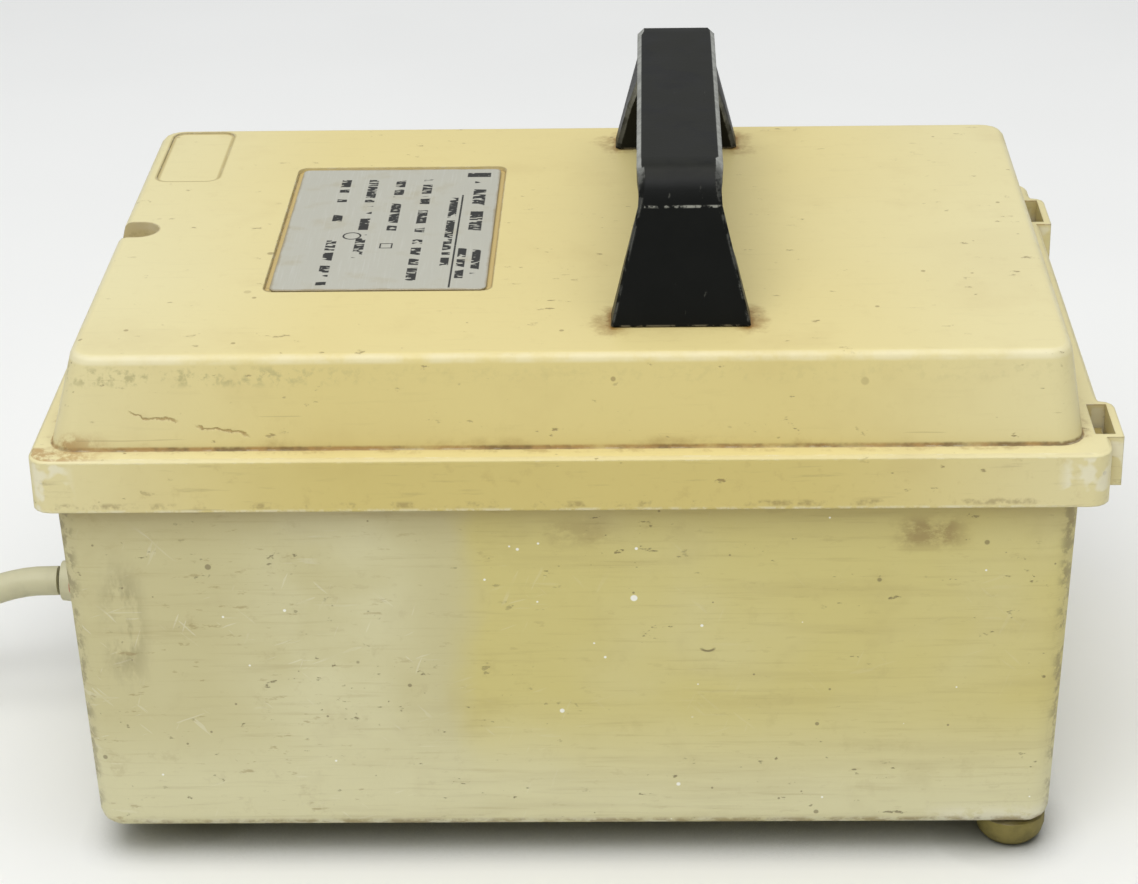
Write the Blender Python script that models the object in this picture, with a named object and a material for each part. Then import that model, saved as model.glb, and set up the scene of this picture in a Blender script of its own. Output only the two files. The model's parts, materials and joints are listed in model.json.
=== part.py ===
"""Portable step-up autotransformer in a two-part moulded case, with a carrying handle and a mains lead."""
import math

import bmesh
import bpy
from mathutils import Matrix, Vector

mm = 0.001
gap = 0.3 * mm                  # clearance kept between pieces that touch

# Case tub: walls lean out a little towards the rim.
footHeight = 8 * mm
seamHeight = 104 * mm           # lower edge of the lid's skirt
rimHeight = 114.7 * mm          # top of the tub's wall, hidden by the skirt
tubHalfLength = 122.2 * mm      # at the underside
tubHalfDepth = 83.3 * mm
lengthDraft = 0.025
depthDraft = 0.026
wall = 3 * mm
tubCorner = 6 * mm
tubBottomRound = 5 * mm

# Lid: skirt, ledge, sloping sides and flat top.
lidLeft = -129 * mm
lidRight = 131 * mm
lidHalfDepth = 90 * mm
ledgeHeight = 118 * mm
lidTop = 140.5 * mm
slopeLeft = (-124.4 * mm, -119.3 * mm)      # at the ledge, at the top
slopeRight = (124.7 * mm, 121.9 * mm)
slopeHalfDepth = (84.8 * mm, 79.8 * mm)
slopeCorner = 6.5 * mm
topRound = 2.5 * mm
skirtInsideLength = 125.6 * mm
skirtInsideDepth = 86.6 * mm

# Lid fittings
lugCentres = (-70.5 * mm, 67 * mm)
lugOutside = 134.5 * mm
screwPlace = (-114.2 * mm, 2.1 * mm)
channelRadius = 5.25 * mm
screwSeat = 121 * mm
plateBox = (-76.5 * mm, -19 * mm, -40.7 * mm, 47 * mm)
panelBox = (-115.6 * mm, -98.2 * mm, 37.6 * mm, 76.7 * mm)

# Handle
handleX = 28.2 * mm
handleY = 2.2 * mm
handleScrewReach = 60.5 * mm

# Fittings on the left end wall, which has a flat upright pad for them.
padOutside = -125.2 * mm
padInside = -119.5 * mm
outletY = 46 * mm
outletZ = 58 * mm
outletHalf = 30 * mm
outletCup = 22 * mm
flapAxis = (-132.3 * mm, 85.6 * mm)
breakerY = -42 * mm
breakerZ = 58 * mm
cordExitZ = 36 * mm
pillarTop = 31.4 * mm
cordRadius = 4.15 * mm
bushingEnd = -144.3 * mm

# Transformer: an EI core bolted between two end frames that stand on the tub's floor.
coreX = 38 * mm
coreHalfWidth = 60 * mm
coreHalfStack = 35 * mm
coreBottom = 13 * mm
yoke = 20 * mm
legHeight = 60 * mm
frameSheet = 2.5 * mm
earthPlace = (-36 * mm, 47 * mm)

# Coil of spare lead on the floor, and the plug at its end
coilCentre = (-255 * mm, 45.5 * mm)
coilRadius = 45.5 * mm
coilHalfWidth = 12.5 * mm
coilHeight = 15.5 * mm
floorLift = 0.1 * mm


def clearScene():
    for item in list(bpy.data.objects):
        bpy.data.objects.remove(item, do_unlink=True)


def makeMaterial(name, colour, roughness, metallic=0.0):
    material = bpy.data.materials.new(name)
    material.use_nodes = True
    shader = material.node_tree.nodes["Principled BSDF"]
    shader.inputs["Base Color"].default_value = (*colour, 1)
    shader.inputs["Roughness"].default_value = roughness
    shader.inputs["Metallic"].default_value = metallic
    material.diffuse_color = (*colour, 1)
    return material


def addObject(name, bm, material, location=(0, 0, 0), smooth=False):
    bmesh.ops.recalc_face_normals(bm, faces=bm.faces)
    mesh = bpy.data.meshes.new(name)
    bm.to_mesh(mesh)
    bm.free()
    if smooth:
        mesh.shade_smooth()
        mesh.set_sharp_from_angle(angle=math.radians(35))
    mesh.materials.append(material)
    item = bpy.data.objects.new(name, mesh)
    item.location = location
    bpy.context.scene.collection.objects.link(item)
    return item


def combine(target, operation, bm):
    """Cut the shape in bm away from target, or join it on."""
    toolName = f"{target.name}_{operation.lower()}_{len(target.modifiers)}"
    tool = addObject(toolName, bm, target.data.materials[0])
    tool.hide_render = True
    tool.display_type = "WIRE"
    modifier = target.modifiers.new(operation.title(), "BOOLEAN")
    modifier.operation = operation
    modifier.solver = "EXACT"
    modifier.object = tool


def addBox(bm, low, high):
    size = [b - a for a, b in zip(low, high)]
    middle = [(a + b) / 2 for a, b in zip(low, high)]
    matrix = Matrix.Translation(middle) @ Matrix.Diagonal((*size, 1))
    bmesh.ops.create_cube(bm, size=1, matrix=matrix)


def addCylinder(bm, start, end, radius, segments=16, endRadius=None):
    start, end = Vector(start), Vector(end)
    along = end - start
    matrix = Matrix.Translation((start + end) / 2) @ along.to_track_quat("Z", "Y").to_matrix().to_4x4()
    last = radius if endRadius is None else endRadius
    bmesh.ops.create_cone(bm, cap_ends=True, segments=segments, radius1=radius, radius2=last,
                          depth=along.length, matrix=matrix)


def addLoft(bm, rings, closed=False):
    """Skin a list of rings with equal counts; the ends are capped, or joined if the loft is closed."""
    loops = [[bm.verts.new(point) for point in ring] for ring in rings]
    count = len(loops[0])
    pairs = list(zip(loops, loops[1:]))
    if closed:
        pairs.append((loops[-1], loops[0]))
    for lower, upper in pairs:
        for i in range(count):
            j = (i + 1) % count
            bm.faces.new((lower[i], lower[j], upper[j], upper[i]))
    if not closed:
        bm.faces.new(loops[0])
        bm.faces.new(loops[-1])


def roundedRing(left, right, front, back, z, radius, steps=4):
    """Points of a rectangle with round corners, at one height."""
    corners = ((right, back, 0), (left, back, 90), (left, front, 180), (right, front, 270))
    points = []
    for cornerX, cornerY, start in corners:
        middleX = cornerX - radius * (1 if cornerX == right else -1)
        middleY = cornerY - radius * (1 if cornerY == back else -1)
        for step in range(steps + 1):
            angle = math.radians(start + 90 * step / steps)
            points.append((middleX + radius * math.cos(angle), middleY + radius * math.sin(angle), z))
    return points


def addPrism(bm, outline, low, high):
    """Extrude a flat outline of x, y points between two heights."""
    addLoft(bm, [[(x, y, z) for x, y in outline] for z in (low, high)])


def addTurned(bm, profile, matrix, segments=20):
    """Turn a closed profile of radius, height points about the matrix's Z axis."""
    rings = []
    for step in range(segments):
        angle = 2 * math.pi * step / segments
        rings.append([matrix @ Vector((r * math.cos(angle), r * math.sin(angle), h)) for r, h in profile])
    addLoft(bm, rings, closed=True)


def addSolidTurned(bm, profile, matrix, segments=12):
    """Turn an open profile into a solid whose flat ends are its first and last circles."""
    rings = []
    for radius, height in profile:
        ring = []
        for step in range(segments):
            angle = 2 * math.pi * step / segments
            ring.append(matrix @ Vector((radius * math.cos(angle), radius * math.sin(angle), height)))
        rings.append(ring)
    addLoft(bm, rings)


def alongX(x, y, z):
    """Place a turned shape with its axis along X, starting at x and running towards -X."""
    return Matrix.Translation((x, y, z)) @ Matrix.Rotation(math.radians(-90), 4, "Y")


def smoothRoute(points, spacing):
    """Points of a Catmull-Rom curve through the given ones."""
    knots = [Vector(point) for point in points]
    knots = [2 * knots[0] - knots[1]] + knots + [2 * knots[-1] - knots[-2]]
    route = [knots[1]]
    for a, b, c, d in zip(knots, knots[1:], knots[2:], knots[3:]):
        steps = max(1, round((c - b).length / spacing))
        for step in range(1, steps + 1):
            t = step / steps
            route.append(0.5 * (2 * b + (c - a) * t + (2 * a - 5 * b + 4 * c - d) * t ** 2
                                + (3 * b - a - 3 * c + d) * t ** 3))
    return route


def addTube(name, route, radius, material, spacing):
    """A round tube along a smooth route."""
    curve = bpy.data.curves.new(name, "CURVE")
    curve.dimensions = "3D"
    curve.bevel_depth = radius
    curve.bevel_resolution = 2
    curve.use_fill_caps = True
    points = smoothRoute(route, spacing)
    spline = curve.splines.new("POLY")
    spline.points.add(len(points) - 1)
    for target, point in zip(spline.points, points):
        target.co = (*point, 1)
    curve.materials.append(material)
    item = bpy.data.objects.new(name, curve)
    bpy.context.scene.collection.objects.link(item)


def tubSection(z, inset, radius):
    halfLength = tubHalfLength + lengthDraft * (z - footHeight) - inset
    halfDepth = tubHalfDepth + depthDraft * (z - footHeight) - inset
    return roundedRing(-halfLength, halfLength, -halfDepth, halfDepth, z, radius)


def footPlaces():
    """Left feet stand further in than the right ones."""
    return {"foot_front_left": (-100 * mm, -57 * mm), "foot_front_right": (113.3 * mm, -73 * mm),
            "foot_rear_left": (-100 * mm, 57 * mm), "foot_rear_right": (113.3 * mm, 73 * mm)}


def framePlaces():
    return [(coreX + side * 52 * mm, row * 50 * mm) for side in (-1, 1) for row in (-1, 1)]


def buildTub(plastic):
    bm = bmesh.new()
    rings = []
    for step in range(4):
        angle = math.radians(30 * step)
        inset = tubBottomRound * (1 - math.sin(angle))
        z = footHeight + tubBottomRound * (1 - math.cos(angle))
        rings.append(tubSection(z, inset, max(tubCorner - inset, 2 * mm)))
    rings.append(tubSection(rimHeight, 0, tubCorner))
    rings.append(tubSection(rimHeight, wall, tubCorner - wall))
    rings.append(tubSection(footHeight + wall, wall, tubCorner - wall))
    addLoft(bm, rings)
    tub = addObject("case_tub", bm, plastic)

    bm = bmesh.new()
    floorTop = footHeight + wall
    addBox(bm, (padOutside, -62 * mm, 20 * mm), (padInside, 80 * mm, 93 * mm))    # flat pad
    for x, y in footPlaces().values():
        addCylinder(bm, (x, y, floorTop - 1 * mm), (x, y, 19 * mm), 5 * mm)
    for x, y in framePlaces():
        addCylinder(bm, (x, y, floorTop - 1 * mm), (x, y, 12 * mm), 7 * mm)
    addBox(bm, (-112 * mm, -13 * mm, floorTop - 1 * mm), (-104 * mm, 13 * mm, pillarTop))
    combine(tub, "UNION", bm)

    bm = bmesh.new()
    x, y = screwPlace
    addBox(bm, (-122 * mm, y - 7 * mm, 94.5 * mm), (x + 7 * mm, y + 7 * mm, rimHeight - gap))
    for lugY in lugCentres:                                                       # hooks for the lid
        hook = [(122.6, 100), (128.6, 100), (128.6, 109), (131.8, 109), (131.8, 112), (122.6, 112)]
        addLoft(bm, [[(px * mm, lugY + side * 7.4 * mm, pz * mm) for px, pz in hook] for side in (-1, 1)])
    combine(tub, "UNION", bm)

    bm = bmesh.new()
    for x, y in footPlaces().values():
        addCylinder(bm, (x, y, footHeight - 1 * mm), (x, y, 17 * mm), 2.3 * mm, 12)
    for x, y in framePlaces():
        addCylinder(bm, (x, y, 9.5 * mm), (x, y, 13 * mm), 2.8 * mm, 12)
    x, y = screwPlace
    addCylinder(bm, (x, y, 100 * mm), (x, y, rimHeight + 1 * mm), 3.9 * mm)
    addCylinder(bm, (-108 * mm, 9 * mm, 24 * mm), (-108 * mm, 9 * mm, 33 * mm), 1.8 * mm, 12)
    for y, z, radius in ((outletY, outletZ, outletCup + 0.6 * mm), (breakerY, breakerZ, 5.4 * mm),
                         (0, cordExitZ, 7.3 * mm)):
        addCylinder(bm, (padOutside - 5 * mm, y, z), (padInside + 5 * mm, y, z), radius, 24)
    combine(tub, "DIFFERENCE", bm)
    return tub


def lidSection(share, z, inset, radius):
    """Ring round the lid's sloping part; share runs from 0 at the ledge to 1 at the top."""
    left = slopeLeft[0] + share * (slopeLeft[1] - slopeLeft[0]) + inset
    right = slopeRight[0] + share * (slopeRight[1] - slopeRight[0]) - inset
    halfDepth = slopeHalfDepth[0] + share * (slopeHalfDepth[1] - slopeHalfDepth[0]) - inset
    return roundedRing(left, right, -halfDepth, halfDepth, z, radius)


def skirtSection(z, inset=0.0, radius=5 * mm):
    halfDepth = lidHalfDepth - inset
    return roundedRing(lidLeft + inset, lidRight - inset, -halfDepth, halfDepth, z, radius)


def skirtInside(z):
    return roundedRing(-skirtInsideLength, skirtInsideLength, -skirtInsideDepth, skirtInsideDepth, z, 4 * mm)


def lugOutline(y):
    """Outline of a lug seen from above, with its outer back corner rounded and a web behind it."""
    corner = 3.5 * mm
    points = [(129.4 * mm, y - 10 * mm), (lugOutside, y - 10 * mm)]
    for step in range(4):
        angle = math.radians(30 * step)
        outward, back = math.cos(angle), math.sin(angle)
        points.append((lugOutside - corner * (1 - outward), y + 10 * mm - corner * (1 - back)))
    points.append((129.4 * mm, y + 17 * mm))
    return points


def buildLid(plastic):
    bm = bmesh.new()
    rings = []
    for step in range(4):
        angle = math.radians(30 * step)
        inset = topRound * (1 - math.sin(angle))
        rings.append(lidSection(1, lidTop - topRound * (1 - math.cos(angle)), inset, slopeCorner - inset))
    rings.append(lidSection(0, ledgeHeight, 0, slopeCorner))
    rings.append(skirtSection(ledgeHeight, 0.8 * mm))
    rings.append(skirtSection(ledgeHeight - 0.8 * mm))
    rings.append(skirtSection(seamHeight))
    rings.append(skirtInside(seamHeight))
    rings.append(skirtInside(ledgeHeight - wall))
    rings.append(lidSection(0, ledgeHeight - wall, wall, slopeCorner - wall))
    rings.append(lidSection(1, lidTop - wall, wall, slopeCorner - wall))
    addLoft(bm, rings)
    lid = addObject("case_lid", bm, plastic)

    bm = bmesh.new()
    for y in lugCentres:
        addPrism(bm, lugOutline(y), seamHeight + 1 * mm, ledgeHeight)
    x, y = screwPlace
    boss = []
    for left, z in ((-122.5 * mm, ledgeHeight - wall), (-118.6 * mm, lidTop - 2 * mm)):
        boss.append([(left, y - 8 * mm, z), (x + 8 * mm, y - 8 * mm, z), (x + 8 * mm, y + 8 * mm, z),
                     (left, y + 8 * mm, z)])
    addLoft(bm, boss)
    for side in (-1, 1):
        place = (handleX, handleY + side * handleScrewReach)
        addCylinder(bm, (*place, lidTop - 6 * mm), (*place, lidTop - 2 * mm), 8 * mm)
    combine(lid, "UNION", bm)

    bm = bmesh.new()
    for y in lugCentres:
        addBox(bm, (127.8 * mm, y - 8.3 * mm, 108.2 * mm), (132.6 * mm, y + 8.3 * mm, ledgeHeight + 2 * mm))
    x, y = screwPlace
    channel = [(-132 * mm, y + channelRadius), (-132 * mm, y - channelRadius)]
    for turn in range(-90, 91, 20):
        angle = math.radians(turn)
        channel.append((x + channelRadius * math.cos(angle), y + channelRadius * math.sin(angle)))
    addPrism(bm, channel, screwSeat, lidTop + 2 * mm)
    addLoft(bm, [roundedRing(*plateBox, z, 3 * mm) for z in (lidTop - 0.9 * mm, lidTop + 2 * mm)])
    for side in (-1, 1):
        place = (handleX, handleY + side * handleScrewReach)
        addCylinder(bm, (*place, lidTop - 9 * mm), (*place, lidTop + 2 * mm), 2.8 * mm, 12)
    combine(lid, "DIFFERENCE", bm)

    bm = bmesh.new()
    for y in lugCentres:
        addBox(bm, (124.5 * mm, y - 8.3 * mm, seamHeight - 2 * mm), (129.4 * mm, y + 8.3 * mm, 114.6 * mm))
    x, y = screwPlace
    addCylinder(bm, (x, y, ledgeHeight - 6 * mm), (x, y, screwSeat + 1 * mm), 3.1 * mm)
    left, right, front, back = panelBox
    heights = (lidTop - 0.4 * mm, lidTop + 2 * mm)
    addLoft(bm, [roundedRing(left, right, front, back, z, 3.5 * mm) for z in heights])
    combine(lid, "DIFFERENCE", bm)
    return lid


def buildPlate(metal):
    bm = bmesh.new()
    left, right, front, back = plateBox
    edge = 1.4 * mm
    ring = (left + edge, right - edge, front + edge, back - edge)
    addLoft(bm, [roundedRing(*ring, lidTop - z, 1.8 * mm) for z in (0.6 * mm, 0.1 * mm)])
    return addObject("rating_plate", bm, metal)


def buildHandle(plastic):
    """The strap is skinned through sections: an outer and an inner point, a half width and a bevel."""
    front = [(-66.8, 0, -57.2, 0, 17.0, 0.5), (-63.0, 14.2, -54.5, 13.0, 13.6, 0.6),
             (-59.2, 28.5, -51.8, 22.5, 10.2, 0.8), (-58.3, 32.2, -50.6, 25.0, 10.0, 1.3),
             (-56.0, 35.4, -48.2, 27.4, 10.2, 1.7), (-52.6, 36.8, -44.8, 28.3, 10.5, 1.8),
             (-48.0, 37.0, -41.0, 28.5, 10.5, 1.8)]
    stations = front + [(-a, b, -c, d, e, f) for a, b, c, d, e, f in reversed(front)]
    rings = []
    for outY, outZ, inY, inZ, half, bevel in stations:
        outer, inner = Vector((outY, outZ)), Vector((inY, inZ))
        depth = (inner - outer).normalized()
        section = [(half - bevel, 0), (half, bevel)]
        thickness = (inner - outer).length
        section += [(half, thickness - 1.2), (half - 1.2, thickness)]
        section += [(-x, d) for x, d in reversed(section)]
        ring = []
        for x, down in section:
            y, z = outer + depth * down
            ring.append((x * mm, y * mm, z * mm))
        rings.append(ring)
    bm = bmesh.new()
    addLoft(bm, rings)
    handle = addObject("carry_handle", bm, plastic, (handleX, handleY, lidTop + gap))
    bm = bmesh.new()
    for side in (-1, 1):
        place = (handleX, handleY + side * handleScrewReach)
        addCylinder(bm, (*place, lidTop - 1 * mm), (*place, lidTop + 9 * mm), 2.8 * mm, 12)
    combine(handle, "DIFFERENCE", bm)
    return handle


def addScrew(name, place, axis, head, shank, material, segments=12):
    """A screw with the underside of its head at place; axis points from there out through the head."""
    headRadius, headDepth = head
    shankRadius, shankLength = shank
    bm = bmesh.new()
    turn = Vector(axis).to_track_quat("Z", "Y").to_matrix().to_4x4()
    profile = [(shankRadius * 0.8, -shankLength), (shankRadius, -shankLength + 0.5 * mm), (shankRadius, 0),
               (headRadius, 0), (headRadius, headDepth * 0.6), (headRadius * 0.75, headDepth)]
    addSolidTurned(bm, profile, turn, segments)
    return addObject(name, bm, material, place, True)


def buildLidFastenings(steel, brass):
    x, y = screwPlace
    bm = bmesh.new()
    washerTop = screwSeat + gap + 1 * mm
    addTurned(bm, [(2.9 * mm, 0), (4.9 * mm, 0), (4.9 * mm, 1 * mm), (2.9 * mm, 1 * mm)], Matrix(), 20)
    addObject("lid_screw_washer", bm, steel, (x, y, screwSeat + gap), True)
    head = (4.6 * mm, 3.2 * mm)
    screw = addScrew("lid_screw", (x, y, washerTop + gap), (0, 0, 1), head, (2.4 * mm, 19 * mm), steel, 16)
    bm = bmesh.new()
    top = washerTop + gap + 3.2 * mm
    addBox(bm, (x - 5 * mm, y - 0.6 * mm, top - 1.4 * mm), (x + 5 * mm, y + 0.6 * mm, top + 1 * mm))
    combine(screw, "DIFFERENCE", bm)
    bm = bmesh.new()
    addTurned(bm, [(2.75 * mm, 0), (3.55 * mm, 0), (3.55 * mm, 12 * mm), (2.75 * mm, 12 * mm)], Matrix(), 16)
    addObject("lid_screw_insert", bm, brass, (x, y, 101.5 * mm), True)
    under = lidTop - 6 * mm - gap
    for name, side in (("handle_screw_front", -1), ("handle_screw_rear", 1)):
        place = (handleX, handleY + side * handleScrewReach, under)
        addScrew(name, place, (0, 0, -1), (6.5 * mm, 3 * mm), (2.4 * mm, 14 * mm), steel)


def buildFeet(rubber):
    """Push-in feet: a stem holds each one in its boss."""
    profile = [(1.6, 17.0), (2.0, 16.0), (2.0, 7.7), (9.0, 7.7), (9.0, 5.0), (8.3, 2.3), (6.9, 0.6),
               (5.8, 0.0), (3.9, 0.0), (3.9, 2.0)]
    for name, (x, y) in footPlaces().items():
        bm = bmesh.new()
        addSolidTurned(bm, [(r * mm, h * mm) for r, h in profile], Matrix(), 20)
        addObject(name, bm, rubber, (x, y, 0), True)


def addBoltHoles(item, places):
    bm = bmesh.new()
    reach = coreHalfStack + 10 * mm
    for x, z in places:
        addCylinder(bm, (x, -reach, z), (x, reach, z), 2.8 * mm, 12)
    combine(item, "DIFFERENCE", bm)


def coreBoltPlaces(row):
    return [(coreX + side * (coreHalfWidth - yoke / 2), row) for side in (-1, 1)]


def buildCore(iron, steel, brass):
    windowTop = coreBottom + yoke + legHeight
    half, inner = coreHalfWidth, coreHalfWidth - yoke
    outline = [(-half, 0), (half, 0), (half, yoke + legHeight), (inner, yoke + legHeight), (inner, yoke),
               (yoke, yoke), (yoke, yoke + legHeight), (-yoke, yoke + legHeight), (-yoke, yoke),
               (-inner, yoke), (-inner, yoke + legHeight), (-half, yoke + legHeight)]
    bm = bmesh.new()
    addLoft(bm, [[(coreX + x, side * coreHalfStack, coreBottom + z) for x, z in outline] for side in (-1, 1)])
    lowBolt = coreBottom + yoke / 2
    highBolt = windowTop + gap + yoke / 2
    addBoltHoles(addObject("core_e_stack", bm, iron), coreBoltPlaces(lowBolt))
    bm = bmesh.new()
    addBox(bm, (coreX - half, -coreHalfStack, windowTop + gap),
           (coreX + half, coreHalfStack, windowTop + gap + yoke))
    addBoltHoles(addObject("core_i_stack", bm, iron), coreBoltPlaces(highBolt))

    left, right = coreX - half - 22 * mm, coreX + half + 4 * mm
    frameBottom = 12.3 * mm
    inside = coreHalfStack + gap
    sheet = frameSheet
    for name, side in (("end_frame_front", -1), ("end_frame_rear", 1)):
        bm = bmesh.new()
        near, far = sorted((side * inside, side * (inside + sheet)))
        addBox(bm, (coreX - half, near, frameBottom), (coreX + half, far, windowTop + gap + yoke))
        frame = addObject(name, bm, steel)
        bm = bmesh.new()
        near, far = sorted((side * (inside + sheet * 0.5), side * (inside + 24 * mm)))
        addBox(bm, (left, near, frameBottom), (right, far, frameBottom + sheet))
        combine(frame, "UNION", bm)
        bm = bmesh.new()
        addBox(bm, (coreX - inner + gap, -0.1, coreBottom + yoke - gap),
               (coreX + inner - gap, 0.1, windowTop + gap))
        for x, y in framePlaces():
            if y * side > 0:
                addCylinder(bm, (x, y, 10 * mm), (x, y, 17 * mm), 2.8 * mm, 12)
        if side > 0:
            addCylinder(bm, (*earthPlace, 10 * mm), (*earthPlace, 17 * mm), 2.3 * mm, 12)
        combine(frame, "DIFFERENCE", bm)
        addBoltHoles(frame, coreBoltPlaces(lowBolt) + coreBoltPlaces(highBolt))

    outside = inside + sheet + gap
    boltHead = (4.6 * mm, 3.5 * mm)
    for row, z in (("low", lowBolt), ("high", highBolt)):
        for end, (x, _) in zip(("left", "right"), coreBoltPlaces(z)):
            shank = (2.4 * mm, 2 * outside + 5 * mm)
            addScrew(f"core_bolt_{row}_{end}", (x, -outside, z), (0, -1, 0), boltHead, shank, steel)
    frameTop = frameBottom + sheet + gap
    head, shank = (4.6 * mm, 3 * mm), (2.4 * mm, 5 * mm)
    for index, (x, y) in enumerate(framePlaces(), 1):
        addScrew(f"frame_screw_{index}", (x, y, frameTop), (0, 0, 1), head, shank, steel)
    head, shank = (4.2 * mm, 3.4 * mm), (2 * mm, 2.4 * mm)
    addScrew("earth_screw", (*earthPlace, frameTop), (0, 0, 1), head, shank, brass)


def addSleeve(bm, halfX, halfY, thickness, low, high):
    """Rectangular sleeve round the core's centre leg; halfX and halfY are its inner half sizes."""
    rings = []
    for grow, z in ((0, low), (thickness, low), (thickness, high), (0, high)):
        outX, outY = halfX + grow, halfY + grow
        rings.append(roundedRing(coreX - outX, coreX + outX, -outY, outY, z, 1 * mm + grow, 2))
    addLoft(bm, rings, closed=True)


def buildWindings(bobbinPlastic, copper, darkCopper, tape):
    low = coreBottom + yoke + gap
    high = coreBottom + yoke + legHeight - gap
    flange = 2 * mm
    tubeX, tubeY = yoke + 0.5 * mm, coreHalfStack + 0.5 * mm
    profile = [(0, low), (18.6 * mm, low), (18.6 * mm, low + flange), (1.5 * mm, low + flange),
               (1.5 * mm, high - flange), (18.6 * mm, high - flange), (18.6 * mm, high), (0, high)]
    rings = []
    for grow, z in profile:
        halfX, halfY = tubeX + grow, tubeY + grow
        corner = 1 * mm + grow * 0.4
        rings.append(roundedRing(coreX - halfX, coreX + halfX, -halfY, halfY, z, corner, 2))
    bm = bmesh.new()
    addLoft(bm, rings, closed=True)
    addObject("bobbin", bm, bobbinPlastic)
    start = 1.5 * mm + gap
    layers = (("winding_common", copper, 7.6 * mm), ("winding_series", darkCopper, 7.2 * mm),
              ("winding_tape", tape, 0.8 * mm))
    for name, material, thickness in layers:
        bm = bmesh.new()
        addSleeve(bm, tubeX + start, tubeY + start, thickness, low + flange + gap, high - flange - gap)
        addObject(name, bm, material)
        start += thickness + gap


def buildOutlet(plastic, insertPlastic, brass):
    """Recessed earthed socket outlet with a spring-loaded flap hinged along its top edge."""
    back, front = padOutside - gap, -131 * mm
    cupFloor = -113.2 * mm
    axisX, axisZ = flapAxis
    bm = bmesh.new()
    addBox(bm, (front, outletY - outletHalf, outletZ - outletHalf),
           (back, outletY + outletHalf, outletZ + outletHalf))
    frame = addObject("outlet_frame", bm, plastic)
    bm = bmesh.new()
    addCylinder(bm, (back - 2 * mm, outletY, outletZ), (-111 * mm, outletY, outletZ), outletCup, 24)
    combine(frame, "UNION", bm)
    bm = bmesh.new()
    recess = outletCup - 2 * mm
    addCylinder(bm, (front - 5 * mm, outletY, outletZ), (cupFloor, outletY, outletZ), recess, 24)
    addBox(bm, (front - 5 * mm, outletY - 24 * mm, axisZ - 2.6 * mm),
           (front + 1.3 * mm, outletY + 24 * mm, axisZ + 5 * mm))
    combine(frame, "DIFFERENCE", bm)
    bm = bmesh.new()
    for side in (-1, 1):
        y = outletY + side * 9.5 * mm
        addCylinder(bm, (-115 * mm, y, outletZ), (-108 * mm, y, outletZ), 4.3 * mm, 16)
    combine(frame, "DIFFERENCE", bm)
    bm = bmesh.new()
    for side in (-1, 1):                                                      # hinge ears
        near, far = sorted((outletY + side * 24.5 * mm, outletY + side * 28 * mm))
        addBox(bm, (axisX - 2.1 * mm, near, axisZ - 2.2 * mm), (front + 1 * mm, far, axisZ + 2 * mm))
    combine(frame, "UNION", bm)
    bm = bmesh.new()
    addCylinder(bm, (axisX, outletY - 40 * mm, axisZ), (axisX, outletY + 40 * mm, axisZ), 1.2 * mm, 12)
    combine(frame, "DIFFERENCE", bm)

    bm = bmesh.new()
    insertRadius = outletCup - 2.4 * mm
    addCylinder(bm, (cupFloor - gap, outletY, outletZ), (-116 * mm, outletY, outletZ), insertRadius, 24)
    insert = addObject("outlet_insert", bm, insertPlastic, smooth=True)
    bm = bmesh.new()
    for side in (-1, 1):
        y = outletY + side * 9.5 * mm
        addCylinder(bm, (-110 * mm, y, outletZ), (-118 * mm, y, outletZ), 2.8 * mm, 12)
    combine(insert, "DIFFERENCE", bm)
    for name, side in (("outlet_contact_line", -1), ("outlet_contact_neutral", 1)):
        bm = bmesh.new()
        profile = [(2.6 * mm, 0), (3.9 * mm, 0), (3.9 * mm, 14 * mm), (2.6 * mm, 14 * mm)]
        addTurned(bm, profile, alongX(-98.9 * mm, outletY + side * 9.5 * mm, outletZ), 12)
        addObject(name, bm, brass, smooth=True)
    buildEarthStrap(brass)


def buildEarthStrap(brass):
    """One bent strip: spring fingers at the top and bottom of the recess, joined over the insert."""
    outer, inner = 18.6, 17.4
    shape = [(-129, outer), (-116.5, outer), (-116.5, -outer), (-129, -outer), (-129, -inner),
             (-117.6, -inner), (-117.6, inner), (-129, inner)]
    bm = bmesh.new()
    rings = []
    for side in (-1, 1):
        rings.append([(x * mm, outletY + side * 2.5 * mm, outletZ + z * mm) for x, z in shape])
    addLoft(bm, rings)
    addObject("outlet_earth_strap", bm, brass)


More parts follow.
